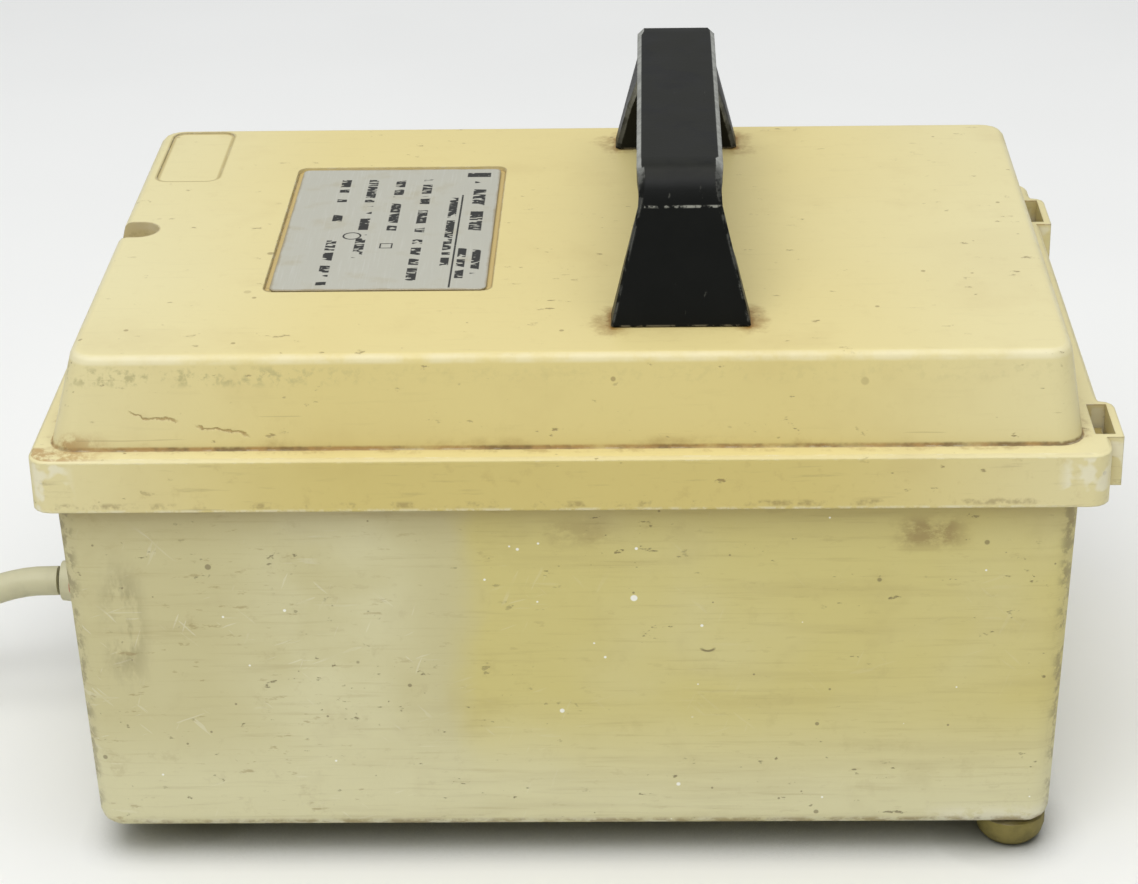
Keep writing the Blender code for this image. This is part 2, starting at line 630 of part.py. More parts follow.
def buildFlap(plastic, steel):
    axisX, axisZ = flapAxis
    plateBack, plateFront = -133.2 * mm - axisX, -134.5 * mm - axisX
    bm = bmesh.new()
    halfWidth = outletHalf - 1 * mm
    addBox(bm, (plateFront, -halfWidth, -56.5 * mm), (plateBack, halfWidth, -2.8 * mm))
    flap = addObject("outlet_flap", bm, plastic, (axisX, outletY, axisZ))
    flap.data.shade_flat()
    bm = bmesh.new()
    knuckle = [(plateFront + 0.05 * mm, -4 * mm)]
    for step in range(9):
        angle = math.radians(180 - 30 * step)
        knuckle.append((2.2 * mm * math.cos(angle), 2.2 * mm * math.sin(angle)))
    knuckle.append((plateBack - 0.05 * mm, -4 * mm))
    for near, far in ((-23.6, -5), (5, 23.6)):
        addLoft(bm, [[(axisX + x, outletY + y * mm, axisZ + z) for x, z in knuckle] for y in (near, far)])
    combine(flap, "UNION", bm)
    bm = bmesh.new()
    addCylinder(bm, (axisX, outletY - 40 * mm, axisZ), (axisX, outletY + 40 * mm, axisZ), 1.3 * mm, 16)
    combine(flap, "DIFFERENCE", bm)
    bm = bmesh.new()
    addCylinder(bm, (axisX, outletY - 27.5 * mm, axisZ), (axisX, outletY + 27.5 * mm, axisZ), 0.95 * mm, 12)
    addObject("flap_pin", bm, steel, smooth=True)
    bm = bmesh.new()
    alongY = Matrix.Rotation(math.radians(-90), 4, "X")
    place = Matrix.Translation((axisX, outletY - 4 * mm, axisZ)) @ alongY
    addTurned(bm, [(1.25 * mm, 0), (2 * mm, 0), (2 * mm, 8 * mm), (1.25 * mm, 8 * mm)], place, 12)
    addObject("flap_spring", bm, steel, smooth=True)


def buildBreaker(plastic, steel, redPlastic):
    """Push-to-reset thermal breaker clamped in the end wall by a ring nut."""
    bm = bmesh.new()
    addBox(bm, (padInside + gap, breakerY - 7 * mm, breakerZ - 16 * mm),
           (-90 * mm, breakerY + 7 * mm, breakerZ + 16 * mm))
    body = addObject("breaker_body", bm, plastic)
    bm = bmesh.new()
    addCylinder(bm, (-115 * mm, breakerY, breakerZ), (-129.5 * mm, breakerY, breakerZ), 5 * mm, 20)
    for up in (-1, 1):                                                            # terminal blades
        z = breakerZ + up * 8 * mm
        addBox(bm, (-91 * mm, breakerY - 3.1 * mm, z - 0.5 * mm),
               (-81 * mm, breakerY + 3.1 * mm, z + 0.5 * mm))
    combine(body, "UNION", bm)
    bm = bmesh.new()
    addCylinder(bm, (-117 * mm, breakerY, breakerZ), (-132 * mm, breakerY, breakerZ), 3.5 * mm, 20)
    combine(body, "DIFFERENCE", bm)
    bm = bmesh.new()
    profile = [(5.3 * mm, 0), (7.5 * mm, 0), (7.5 * mm, 2.2 * mm), (6.9 * mm, 2.8 * mm), (5.3 * mm, 2.8 * mm)]
    addTurned(bm, profile, alongX(padOutside - gap, breakerY, breakerZ), 20)
    addObject("breaker_nut", bm, steel, smooth=True)
    bm = bmesh.new()
    addCylinder(bm, (0, 0, 0), (-11 * mm, 0, 0), 3.1 * mm, 16)
    addCylinder(bm, (-11 * mm, 0, 0), (-12 * mm, 0, 0), 3.1 * mm, 16, 2.4 * mm)
    bmesh.ops.remove_doubles(bm, verts=bm.verts, dist=0.01 * mm)
    joint = [face for face in bm.faces
             if len(face.verts) > 4 and abs(face.calc_center_median().x + 11 * mm) < 0.1 * mm]
    bmesh.ops.delete(bm, geom=joint, context="FACES_ONLY")
    addObject("breaker_button", bm, redPlastic, (-120.5 * mm, breakerY, breakerZ), True)


def buildCordEntry(rubber, sheath, plastic, steel):
    bm = bmesh.new()
    start = padInside + 0.4 * mm
    profile = [(0.3, -4.0), (8.6, -4.0), (8.9, -3.0), (8.9, 0.0), (7.0, 0.0), (7.0, 6.6), (10.0, 6.6),
               (10.0, 8.6), (7.6, 9.4), (7.0, 13.0), (6.2, 19.0), (5.6, 25.2), (0.3, 25.2)]
    profile = [(radius * mm, height * mm) for radius, height in profile]
    addSolidTurned(bm, profile, alongX(start, 0, cordExitZ), 20)
    addObject("cord_bushing", bm, rubber, smooth=True)
    tailStart = start + 4 * mm + gap
    tail = [(x, 0, cordExitZ) for x in (tailStart, -105 * mm, -96 * mm)]
    addTube("cord_tail", tail, cordRadius, sheath, 9 * mm)
    bm = bmesh.new()
    addBox(bm, (-112 * mm, -13 * mm, pillarTop + gap), (-104 * mm, 13 * mm, 43 * mm))
    clamp = addObject("cord_clamp", bm, plastic)
    bm = bmesh.new()
    saddleZ = cordExitZ + 0.4 * mm
    addCylinder(bm, (-120 * mm, 0, saddleZ), (-100 * mm, 0, saddleZ), cordRadius + 0.5 * mm, 20)
    addCylinder(bm, (-108 * mm, 9 * mm, 30 * mm), (-108 * mm, 9 * mm, 46 * mm), 1.8 * mm, 12)
    combine(clamp, "DIFFERENCE", bm)
    addScrew("cord_clamp_screw", (-108 * mm, 9 * mm, 43 * mm + gap), (0, 0, 1), (2.8 * mm, 1.8 * mm),
             (1.5 * mm, 18 * mm), steel)


def buildWiring(plastic, brown, blue, green, black):
    bm = bmesh.new()
    block = ((-78 * mm, -30 * mm, 11.3 * mm), (-54 * mm, 24 * mm, 27.3 * mm))
    addBox(bm, *block)
    terminalBlock = addObject("terminal_block", bm, plastic)
    wells = bmesh.new()
    for row in range(4):
        y = (-22 + 12 * row) * mm
        addCylinder(wells, (-66 * mm, y, 19 * mm), (-66 * mm, y, 30 * mm), 3 * mm, 12)
    combine(terminalBlock, "DIFFERENCE", wells)
    top = 27.7
    tail = -95.4
    wires = {
        "wire_line_in": (brown, [
            (tail, -2, 34.9), (-92, -2.1, 34.9), (-86, -4.5, 37), (-75, -14, 44), (-67, -32, 60),
            (-70, -41, 66), (-80.7, -42, 66)]),
        "wire_breaker_out": (black, [
            (-80.7, -42, 50), (-74, -42, 49), (-70, -36, 42), (-71.5, -24.5, 34), (-72, -22.1, 30.5),
            (-72, -22, top)]),
        "wire_neutral": (blue, [
            (tail, 2, 34.9), (-92, 2.1, 34.9), (-86, 2.4, 36.5), (-79, 2.2, 37.5), (-73.5, 2.1, 34.5),
            (-72, 2, 31), (-72, 2, top)]),
        "wire_earth": (green, [
            (tail, 0, 38.3), (-92, 0.2, 38.6), (-88.5, 5, 42), (-87.5, 15, 40), (-84, 28, 30),
            (-68, 41, 25), (-48, 48, 26), (-38, 47.6, 23), (-36, 47, 20.2)]),
        "wire_outlet_line": (black, [
            (-98.5, 36.5, 58), (-88, 36, 58), (-76, 30, 50), (-71, 16.5, 36), (-72, 14.1, 31),
            (-72, 14, top)]),
        "wire_outlet_neutral": (blue, [
            (-98.5, 55.5, 58), (-86, 55, 59), (-70, 48, 58), (-60, 28, 56), (-60, 4, 50),
            (-69, -9, 38), (-71.8, -9.9, 32), (-72, -10, top)]),
        "winding_lead": (black, [
            (-60, -22, top), (-60, -22.3, 31), (-56, -28, 38), (-40, -42, 44), (-18, -46, 45),
            (-2.3, -46, 45)]),
    }
    for name, (colour, route) in wires.items():
        addTube(name, [Vector(point) * mm for point in route], 1.4 * mm, colour, 7 * mm)


def cordRoute():
    """The free stretch: level out of the bushing, down to the floor and straight to the coil's outer turn."""
    start = Vector((bushingEnd - 1.0 * mm, 0, cordExitZ))
    floor = cordRadius + floorLift
    drop = cordExitZ - floor
    points = [start]
    for step in range(1, 9):
        share = step / 8
        points.append(Vector((start.x - 3 * mm - 80 * mm * share, -8.5 * mm * share ** 2,
                              floor + drop * (1 + math.cos(math.pi * share)) / 2)))
    points[-1].x = coilCentre[0] + 31.5 * mm
    return points


def buildCord(sheath, tie, plugPlastic, brass):
    floor = cordRadius + floorLift
    x, y = coilCentre
    line = y - coilRadius - 8.5 * mm
    addTube("mains_cord", cordRoute(), cordRadius, sheath, 12 * mm)
    bm = bmesh.new()
    inner, outer = coilRadius - coilHalfWidth, coilRadius + coilHalfWidth
    soft = 4 * mm
    profile = [(inner + soft, floorLift), (outer - soft, floorLift), (outer, soft),
               (outer, coilHeight - soft), (outer - soft, coilHeight), (inner + soft, coilHeight),
               (inner, coilHeight - soft), (inner, soft)]
    addTurned(bm, profile, Matrix.Translation((x, y, 0)), 32)
    addObject("cord_coil", bm, sheath, smooth=True)
    bm = bmesh.new()
    near, far, high, strap = inner - 0.5 * mm, outer + 0.4 * mm, coilHeight + 0.4 * mm, 1.2 * mm
    section = [(far, 0), (far, high), (near, high), (near, 0), (near - strap, 0),
               (near - strap, high + strap), (far + strap, high + strap), (far + strap, 0)]
    addLoft(bm, [[(x + side * 3 * mm, y + r, z + floorLift) for r, z in section] for side in (-1, 1)])
    addObject("cord_tie", bm, tie)

    plugX = x - 33 * mm
    centre = (line, floor + 8 * mm)
    bm = bmesh.new()
    rings = []
    sections = ((0, 5.5, 5.5), (14, 7, 7), (20, 12.5, 11), (24, 14, 12), (38, 14, 12))
    for along, halfWidth, halfHeight in sections:
        ring = roundedRing(-halfWidth, halfWidth, -halfHeight, halfHeight, 0, halfHeight * 0.6, 3)
        rings.append([(plugX - along * mm, centre[0] + a * mm, centre[1] + b * mm) for a, b, _ in ring])
    addLoft(bm, rings)
    addObject("plug_body", bm, plugPlastic, smooth=True)
    face = plugX - 38 * mm - gap
    for name, side in (("plug_blade_line", -1), ("plug_blade_neutral", 1)):
        bm = bmesh.new()
        low = (face - 16 * mm, centre[0] + side * 6.35 * mm - 0.75 * mm, centre[1] - 0.2 * mm)
        addBox(bm, low, (face, low[1] + 1.5 * mm, low[2] + 6.3 * mm))
        addObject(name, bm, brass)
    bm = bmesh.new()
    start = (face, centre[0], centre[1] - 7.5 * mm)
    addCylinder(bm, start, (start[0] - 19 * mm, start[1], start[2]), 2.4 * mm, 12)
    addObject("plug_earth_pin", bm, brass, smooth=True)


def main():
    clearScene()
    lidPlastic = makeMaterial("lid cream plastic", (0.62, 0.55, 0.33), 0.5)
    tubPlastic = makeMaterial("tub khaki plastic", (0.5, 0.46, 0.3), 0.55)
    blackPlastic = makeMaterial("black plastic", (0.012, 0.012, 0.013), 0.4)
    greyPlastic = makeMaterial("grey plastic", (0.3, 0.3, 0.28), 0.5)
    whitePlastic = makeMaterial("white plastic", (0.7, 0.69, 0.64), 0.45)
    redPlastic = makeMaterial("red plastic", (0.45, 0.03, 0.02), 0.4)
    plateMetal = makeMaterial("plate aluminium", (0.55, 0.56, 0.55), 0.4, 0.9)
    zincSteel = makeMaterial("zinc plated steel", (0.55, 0.54, 0.5), 0.35, 1.0)
    coreIron = makeMaterial("varnished laminations", (0.09, 0.08, 0.08), 0.5, 0.8)
    copper = makeMaterial("enamelled copper", (0.55, 0.18, 0.07), 0.35, 1.0)
    darkCopper = makeMaterial("dark enamelled copper", (0.38, 0.1, 0.04), 0.35, 1.0)
    tape = makeMaterial("insulating tape", (0.6, 0.5, 0.25), 0.5)
    brass = makeMaterial("brass", (0.72, 0.5, 0.2), 0.3, 1.0)
    footRubber = makeMaterial("foot rubber", (0.06, 0.055, 0.03), 0.75)
    sheath = makeMaterial("grey lead sheath", (0.42, 0.4, 0.34), 0.55)
    brown = makeMaterial("brown insulation", (0.16, 0.06, 0.02), 0.45)
    blue = makeMaterial("blue insulation", (0.03, 0.14, 0.42), 0.45)
    green = makeMaterial("green and yellow insulation", (0.25, 0.42, 0.04), 0.45)

    buildTub(tubPlastic)
    buildLid(lidPlastic)
    buildPlate(plateMetal)
    buildHandle(blackPlastic)
    buildLidFastenings(zincSteel, brass)
    buildFeet(footRubber)
    buildCore(coreIron, zincSteel, brass)
    buildWindings(whitePlastic, copper, darkCopper, tape)
    buildOutlet(greyPlastic, blackPlastic, brass)
    buildFlap(greyPlastic, zincSteel)
    buildBreaker(blackPlastic, zincSteel, redPlastic)
    buildCordEntry(greyPlastic, sheath, whitePlastic, zincSteel)
    buildWiring(whitePlastic, brown, blue, green, blackPlastic)
    buildCord(sheath, blackPlastic, blackPlastic, brass)


main()
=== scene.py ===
import json
import math

import bmesh
import bpy
from mathutils import Matrix, Vector

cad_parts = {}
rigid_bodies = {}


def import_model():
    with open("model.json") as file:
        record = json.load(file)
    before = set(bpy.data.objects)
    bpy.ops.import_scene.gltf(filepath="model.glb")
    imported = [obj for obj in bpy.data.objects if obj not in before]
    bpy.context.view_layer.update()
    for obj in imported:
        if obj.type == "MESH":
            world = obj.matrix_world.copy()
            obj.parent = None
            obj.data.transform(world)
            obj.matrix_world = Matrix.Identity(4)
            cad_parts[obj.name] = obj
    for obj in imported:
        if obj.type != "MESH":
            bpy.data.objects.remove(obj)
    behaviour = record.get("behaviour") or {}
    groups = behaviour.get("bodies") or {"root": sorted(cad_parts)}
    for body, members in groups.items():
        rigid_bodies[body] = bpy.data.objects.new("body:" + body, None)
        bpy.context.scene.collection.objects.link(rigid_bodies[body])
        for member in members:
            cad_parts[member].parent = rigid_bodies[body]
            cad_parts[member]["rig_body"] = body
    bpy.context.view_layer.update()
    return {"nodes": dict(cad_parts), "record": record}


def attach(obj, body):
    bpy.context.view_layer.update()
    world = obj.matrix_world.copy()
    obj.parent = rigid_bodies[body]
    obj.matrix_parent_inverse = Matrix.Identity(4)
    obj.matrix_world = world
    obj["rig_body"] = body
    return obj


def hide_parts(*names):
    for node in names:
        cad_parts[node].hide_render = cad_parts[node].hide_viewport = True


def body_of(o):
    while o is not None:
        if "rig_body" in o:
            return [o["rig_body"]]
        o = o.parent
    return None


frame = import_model()
mm = 0.001

camera = {
    "place": (0.0216, -0.6967, 0.4199),
    "down": 25.96,       # degrees below level
    "turn": -1.22,       # degrees to the right of straight ahead
    "roll": 0.92,        # degrees, clockwise
    "lens": 90.08,
    "shift": (-0.02715, -0.00747),
}


def makeCamera(spec):
    down, turn, roll = (math.radians(spec[key]) for key in ("down", "turn", "roll"))
    ahead = Vector((math.sin(turn) * math.cos(down), math.cos(turn) * math.cos(down), -math.sin(down)))
    right = Vector((math.cos(turn), -math.sin(turn), 0))
    below = ahead.cross(right)
    rolledRight = right * math.cos(roll) + below * math.sin(roll)
    rolledBelow = below * math.cos(roll) - right * math.sin(roll)
    data = bpy.data.cameras.new("camera")
    data.lens = spec["lens"]
    data.sensor_width = 36
    data.shift_x, data.shift_y = spec["shift"]
    data.clip_start = 0.05
    data.clip_end = 20
    made = bpy.data.objects.new("camera", data)
    bpy.context.scene.collection.objects.link(made)
    axes = Matrix((rolledRight, -rolledBelow, -ahead)).transposed()
    made.matrix_world = Matrix.Translation(spec["place"]) @ axes.to_4x4()
    bpy.context.scene.camera = made


makeCamera(camera)
print("camera placed")


# A shader socket that takes part in ordinary arithmetic.
class Term:
    def __init__(self, finish, socket):
        self.finish = finish
        self.socket = socket

    def __add__(self, other):
        return self.finish.maths("ADD", self, other)

    def __radd__(self, other):
        return self.finish.maths("ADD", other, self)

    def __sub__(self, other):
        return self.finish.maths("SUBTRACT", self, other)

    def __rsub__(self, other):
        return self.finish.maths("SUBTRACT", other, self)

    def __mul__(self, other):
        return self.finish.maths("MULTIPLY", self, other)

    def __rmul__(self, other):
        return self.finish.maths("MULTIPLY", other, self)

    def __truediv__(self, other):
        return self.finish.maths("DIVIDE", self, other)

    def __abs__(self):
        return self.finish.maths("ABSOLUTE", self)

    def __mod__(self, other):
        return self.finish.maths("FLOORED_MODULO", self, other)

    def least(self, other):
        return self.finish.maths("MINIMUM", self, other)

    def most(self, other):
        return self.finish.maths("MAXIMUM", self, other)

    # 0 below low, 1 above high, smooth between.
    def rise(self, low, high):
        settings = {"interpolation_type": "SMOOTHSTEP"}
        return self.finish.node("ShaderNodeMapRange", settings, {0: self, 1: low, 2: high, 3: 0.0, 4: 1.0})

    def fall(self, low, high):
        return 1.0 - self.rise(low, high)

    # 1 between low and high, with soft ends.
    def within(self, low, high, soft):
        return self.rise(low - soft, low + soft) * self.fall(high - soft, high + soft)


# One procedural material; lengths in it are millimetres in the object's own space.
class Finish:
    def __init__(self, name):
        self.material = bpy.data.materials.new(name)
        self.material.use_nodes = True
        self.tree = self.material.node_tree
        self.shader = self.tree.nodes["Principled BSDF"]
        where = self.node("ShaderNodeTexCoord", output="Object")
        self.place = self.node("ShaderNodeVectorMath", {"operation": "SCALE"}, {0: where, "Scale": 1000.0})
        parts = self.node("ShaderNodeSeparateXYZ", inputs={0: self.place})
        self.x = Term(self, parts.socket.node.outputs["X"])
        self.y = Term(self, parts.socket.node.outputs["Y"])
        self.z = Term(self, parts.socket.node.outputs["Z"])
        facing = self.node("ShaderNodeTexCoord", output="Normal")
        parts = self.node("ShaderNodeSeparateXYZ", inputs={0: facing})
        self.faceX = Term(self, parts.socket.node.outputs["X"])
        self.faceY = Term(self, parts.socket.node.outputs["Y"])
        self.faceZ = Term(self, parts.socket.node.outputs["Z"])
        self.rounded = None

    def node(self, kind, settings=None, inputs=None, output=0):
        made = self.tree.nodes.new(kind)
        for name, value in (settings or {}).items():
            setattr(made, name, value)
        for name, value in (inputs or {}).items():
            self.feed(made.inputs[name], value)
        return Term(self, made.outputs[output])

    def feed(self, socket, value):
        if isinstance(value, Term):
            self.tree.links.new(value.socket, socket)
        else:
            socket.default_value = value

    def maths(self, operation, first, second=0.0):
        return self.node("ShaderNodeMath", {"operation": operation}, {0: first, 1: second})

    # Cloudy pattern, about 0.5 in the middle; size is the width of its patches.
    def noise(self, size, detail=3.0, rough=0.55, stretch=(1, 1, 1), shift=0.0):
        scale = tuple(part / size for part in stretch)
        place = self.node("ShaderNodeMapping", inputs={"Vector": self.place, "Scale": scale,
                                                       "Location": (shift, shift * 1.7, shift * 0.6)})
        return self.node("ShaderNodeTexNoise", inputs={"Vector": place, "Scale": 1.0, "Detail": detail,
                                                       "Roughness": rough})

    # Small round spots scattered in cells of this size; share is how many cells hold one.
    def spots(self, size, radius, share, shift=0.0):
        place = self.node("ShaderNodeMapping", inputs={"Vector": self.place, "Scale": (1 / size,) * 3,
                                                       "Location": (shift, shift * 1.3, shift * 0.7)})
        cells = self.node("ShaderNodeTexVoronoi", inputs={"Vector": place, "Scale": 1.0})
        colour = Term(self, cells.socket.node.outputs["Color"])
        pick = self.node("ShaderNodeSeparateXYZ", inputs={0: colour})
        reach = radius / size
        return cells.fall(reach * 0.6, reach) * pick.rise(1 - share - 0.01, 1 - share + 0.01)

    # Round spots at known places on the front.
    def placed(self, places):
        found = None
        for across, up, radius in places:
            offX, offZ = self.x - across, self.z - up
            away = self.maths("SQRT", offX * offX + offZ * offZ)
            spot = away.fall(radius * 0.7, radius) * self.faceY.fall(-0.6, -0.3)
            found = spot if found is None else found.most(spot)
        return found

    # Thin straight scratches that lean by this angle, in radians, on an upright face.
    def hair(self, size, lean, shift):
        place = self.node("ShaderNodeMapping", inputs={"Vector": self.place, "Rotation": (0.0, lean, 0.0),
                                                       "Location": (shift, 0, shift)})
        place = self.node("ShaderNodeVectorMath", {"operation": "MULTIPLY"},
                          {0: place, 1: (0.09 / size, 0.3 / size, 1 / size)})
        cloud = self.node("ShaderNodeTexNoise", inputs={"Vector": place, "Scale": 1.0, "Detail": 2.0})
        return cloud.rise(0.69, 0.72)

    def mix(self, first, second, factor):
        made = self.node("ShaderNodeMix", {"data_type": "RGBA"}, output=2)
        mixer = made.socket.node
        for index, value in ((0, factor), (6, first), (7, second)):
            if isinstance(value, tuple):
                value = (*value, 1.0)
            self.feed(mixer.inputs[index], value)
        return made

    # Makes edges look rounded off, and returns a mask of them.
    def roundEdges(self, radius):
        self.rounded = self.node("ShaderNodeBevel", {"samples": 4}, {"Radius": radius * mm}, "Normal")
        flat = self.node("ShaderNodeNewGeometry", output="Normal")
        settings = {"operation": "DOT_PRODUCT"}
        dot = self.node("ShaderNodeVectorMath", settings, {0: self.rounded, 1: flat}, "Value")
        return (1.0 - dot).rise(0.01, 0.12)

    # Mask of inner corners and narrow gaps that ambient occlusion finds; a colour darkened by it is painted
    # shade.
    def corners(self, distance, local=True):
        settings = {"samples": 4, "only_local": local}
        openness = self.node("ShaderNodeAmbientOcclusion", settings, {"Distance": distance * mm}, "AO")
        return openness.fall(0.35, 0.9)

    def bump(self, height, depth, strength=1.0):
        inputs = {"Height": height, "Distance": depth * mm, "Strength": strength}
        if self.rounded:
            inputs["Normal"] = self.rounded
        self.rounded = self.node("ShaderNodeBump", inputs=inputs)

    def done(self, colour, rough, metallic=0.0, coat=0.0):
        for name, value in (("Base Color", colour), ("Roughness", rough), ("Metallic", metallic),
                            ("Coat Weight", coat)):
            if isinstance(value, tuple):
                value = (*value, 1.0)
            self.feed(self.shader.inputs[name], value)
        if self.rounded:
            self.feed(self.shader.inputs["Normal"], self.rounded)
        return self.material


# Places and heights on the lid are in millimetres, as in the part.
lid = {
    "cream": (0.72, 0.61, 0.27),
    "pale": (0.74, 0.68, 0.40),
    # front: painted shade for the faces that do not face up
    "front": (0.60, 0.485, 0.15),
    "stain": (0.30, 0.17, 0.04),
    "dirt": (0.17, 0.10, 0.03),
    "rust": (0.40, 0.23, 0.07),
    "olive": (0.36, 0.32, 0.14),
    "recessRim": (0.52, 0.38, 0.14),
    "panelLine": (0.46, 0.37, 0.15),
    # chip: worn chips, and the painted highlights along the edges
    "chip": (0.80, 0.76, 0.58),
    "seam": 104.0,           # height of the skirt's lower edge
    "ledge": 118.0,
    "top": 140.5,
    "handleCentre": (28.2, 2.2),
    "footOut": 62.0,         # from the handle's middle to the middle of each foot
    "footHalf": (17, 5),
    # Left, right, front, back and corner radius.
    "labelRecess": (-76.5, -19.0, -40.7, 47.0, 2.6),
    "blankPanel": (-115.6, -98.2, 37.6, 76.7, 3.5),
    "slopeFoot": (-124.4, 124.7, -84.8, 84.8, 6.5),
    "notch": (-114.2, 2.1, 5.25),           # middle and radius of its round end
    "notchMouth": -108.0,                   # place along where it opens
    "crackStart": (-105.0, 127.4),          # place along and height
    "crackParts": ((-104, -93), (-88, -76)),
}


def boxDistance(finish, left, right, front, back, corner):
    # Distance in plan from a rounded rectangle: negative inside it.
    offX = abs(finish.x - (left + right) / 2) - ((right - left) / 2 - corner)
    offY = abs(finish.y - (front + back) / 2) - ((back - front) / 2 - corner)
    outX, outY = offX.most(0.0), offY.most(0.0)
    away = finish.maths("SQRT", outX * outX + outY * outY)
    return away + offX.most(offY).least(0.0) - corner


def makeLidFinish():
    f = Finish("aged cream lid")
    seam, ledge, topHeight = lid["seam"], lid["ledge"], lid["top"]
    worn = f.roundEdges(0.7)
    wide = f.noise(110, 2)
    cloud = f.noise(28, 4)
    grain = f.noise(1.4, 3)
    ends = abs(f.x).rise(45, 130)
    ragged = f.noise(9, 5, 0.7, (0.5, 1, 1)).rise(0.3, 0.55)
    top = f.faceZ.rise(0.4, 0.8)
    colour = f.mix(lid["cream"], lid["pale"], ends * 0.75 + (wide - 0.5) * 0.5)
    skirt = f.z.fall(ledge - 1.4, ledge - 0.4) * top.fall(0.2, 0.6)
    # Painted shade: faces that do not face up, the skirt most, take a darker, yellower colour.
    colour = f.mix(colour, lid["front"], (1.0 - top) * (0.35 + skirt * 0.45) * (1.15 - ends * 0.9))
    patches = cloud.rise(0.52, 0.78) * 0.10 + f.noise(60, 3, shift=9).rise(0.5, 0.8) * 0.07
    colour = f.mix(colour, lid["stain"], patches)
    mottle = f.noise(5, 5, 0.7, shift=83).rise(0.54, 0.72)
    colour = f.mix(colour, lid["stain"], mottle * (0.05 + skirt * 0.10))

    # Streaks that run along the length, on the skirt above all.
    streak = f.noise(1.5, 4, 0.6, (0.09, 1, 1)).rise(0.56, 0.75)
    colour = f.mix(colour, lid["dirt"], streak * (0.05 + skirt * 0.2))

    # Painted highlight: paler along the rounded edge between top and slopes.
    paintedEdgeHighlight = f.z.within(topHeight - 2.1, topHeight - 0.2, 0.5) * f.faceZ.fall(0.93, 0.99)
    colour = f.mix(colour, lid["chip"], paintedEdgeHighlight * f.noise(12, 4, 0.65, shift=81).rise(0.3, 0.6) * 0.35)

    # Dirt along the foot of the slope.
    base = f.z.within(ledge - 0.3, ledge + 0.5, 0.3) * ragged
    nearBase = f.z.within(ledge - 0.05, ledge + 2.5, 1.0) * f.noise(13, 5, 0.65, shift=4).rise(0.5, 0.72)
    colour = f.mix(colour, lid["stain"], nearBase * 0.4 * (1.0 - top))
    leftEnd = f.x.fall(-121, -106) * (f.z + (cloud - 0.5) * 6.0).fall(ledge + 1.5, ledge + 4.5)
    leftEnd = leftEnd * f.z.rise(ledge - 0.4, ledge - 0.2) * f.faceY.fall(0.0, 0.2) * f.y.fall(-83.5, -82)
    colour = f.mix(colour, lid["rust"], leftEnd * f.noise(4, 5, 0.7, shift=89).rise(0.36, 0.55) * 0.75)
    off = boxDistance(f, *lid["slopeFoot"])
    line = (off + (grain - 0.5) * 0.5).within(-0.3, 0.35, 0.2) * f.z.fall(ledge + 0.6, ledge + 1.2)
    line = line.most(base * (1.0 - top))
    earthy = f.mix(lid["rust"], lid["dirt"], f.noise(11, 4, 0.7, shift=87).rise(0.45, 0.62))
    colour = f.mix(colour, earthy, line * (0.15 + ragged * 0.7))
    onLedge = off.within(0.0, 2.2, 1.2) * top * f.z.fall(ledge + 1, ledge + 3)
    colour = f.mix(colour, lid["stain"], onLedge * f.noise(7, 4, 0.7, shift=44).rise(0.5, 0.68) * 0.4)
    smear = f.z.within(topHeight - 7.0, topHeight - 2.9, 1.2) * abs(f.faceZ).fall(0.5, 0.7)
    smear = smear * f.noise(3.2, 5, 0.7, shift=33).rise(0.48, 0.64)
    colour = f.mix(colour, lid["olive"], smear * (0.2 + f.x.fall(-80, -40) * 0.8) * 0.6)

    # Handle, label and blank panel: grime that has gathered round them, with painted shadow along the blank
    # panel's outline and painted shade inside the notch.
    centreX, centreY = lid["handleCentre"]
    halfX, halfY = lid["footHalf"]
    aroundFeet = None
    for side in (-1, 1):
        middle = centreY + side * lid["footOut"]
        off = boxDistance(f, centreX - halfX, centreX + halfX, middle - halfY, middle + halfY, 1.0)
        beside = abs(f.x - centreX).rise(11, 18) * 0.85 + 0.15
        near = (off + (f.noise(7, 4, 0.7, shift=side) - 0.5) * 16.0).fall(-1.5, 6.0)
        close = (off + (grain - 0.5) * 3.0).fall(0.1, 1.3)
        near = (near * 0.75 + close * 0.35) * beside * top
        aroundFeet = near if aroundFeet is None else aroundFeet.most(near)
    colour = f.mix(colour, lid["stain"], aroundFeet)
    off = boxDistance(f, *lid["labelRecess"])
    rim = off.within(-1.5, 0.0, 0.2) * top
    colour = f.mix(colour, lid["recessRim"], rim * 0.8)
    colour = f.mix(colour, lid["dirt"], off.within(-0.2, 0.15, 0.25) * top * (0.35 + cloud * 0.4))
    off = boxDistance(f, *lid["blankPanel"])
    onTop = f.z.rise(topHeight - 1.5, topHeight - 0.5)
    # Painted shadow along the blank panel's outline.
    colour = f.mix(colour, lid["panelLine"], off.within(-0.8, 0.5, 0.3) * onTop * 0.7)
    notchX, notchY = f.x - lid["notch"][0], f.y - lid["notch"][1]
    off = f.maths("SQRT", notchX.most(0.0) * notchX.most(0.0) + notchY * notchY) - lid["notch"][2]
    inNotch = off.fall(0.1, 0.5) * f.z.rise(ledge + 2, ledge + 3)
    inNotch = inNotch * f.x.fall(lid["notchMouth"] - 0.5, lid["notchMouth"])
    # Painted shade inside the notch.
    colour = f.mix(colour, lid["stain"], inNotch * (0.15 + cloud * 0.45))

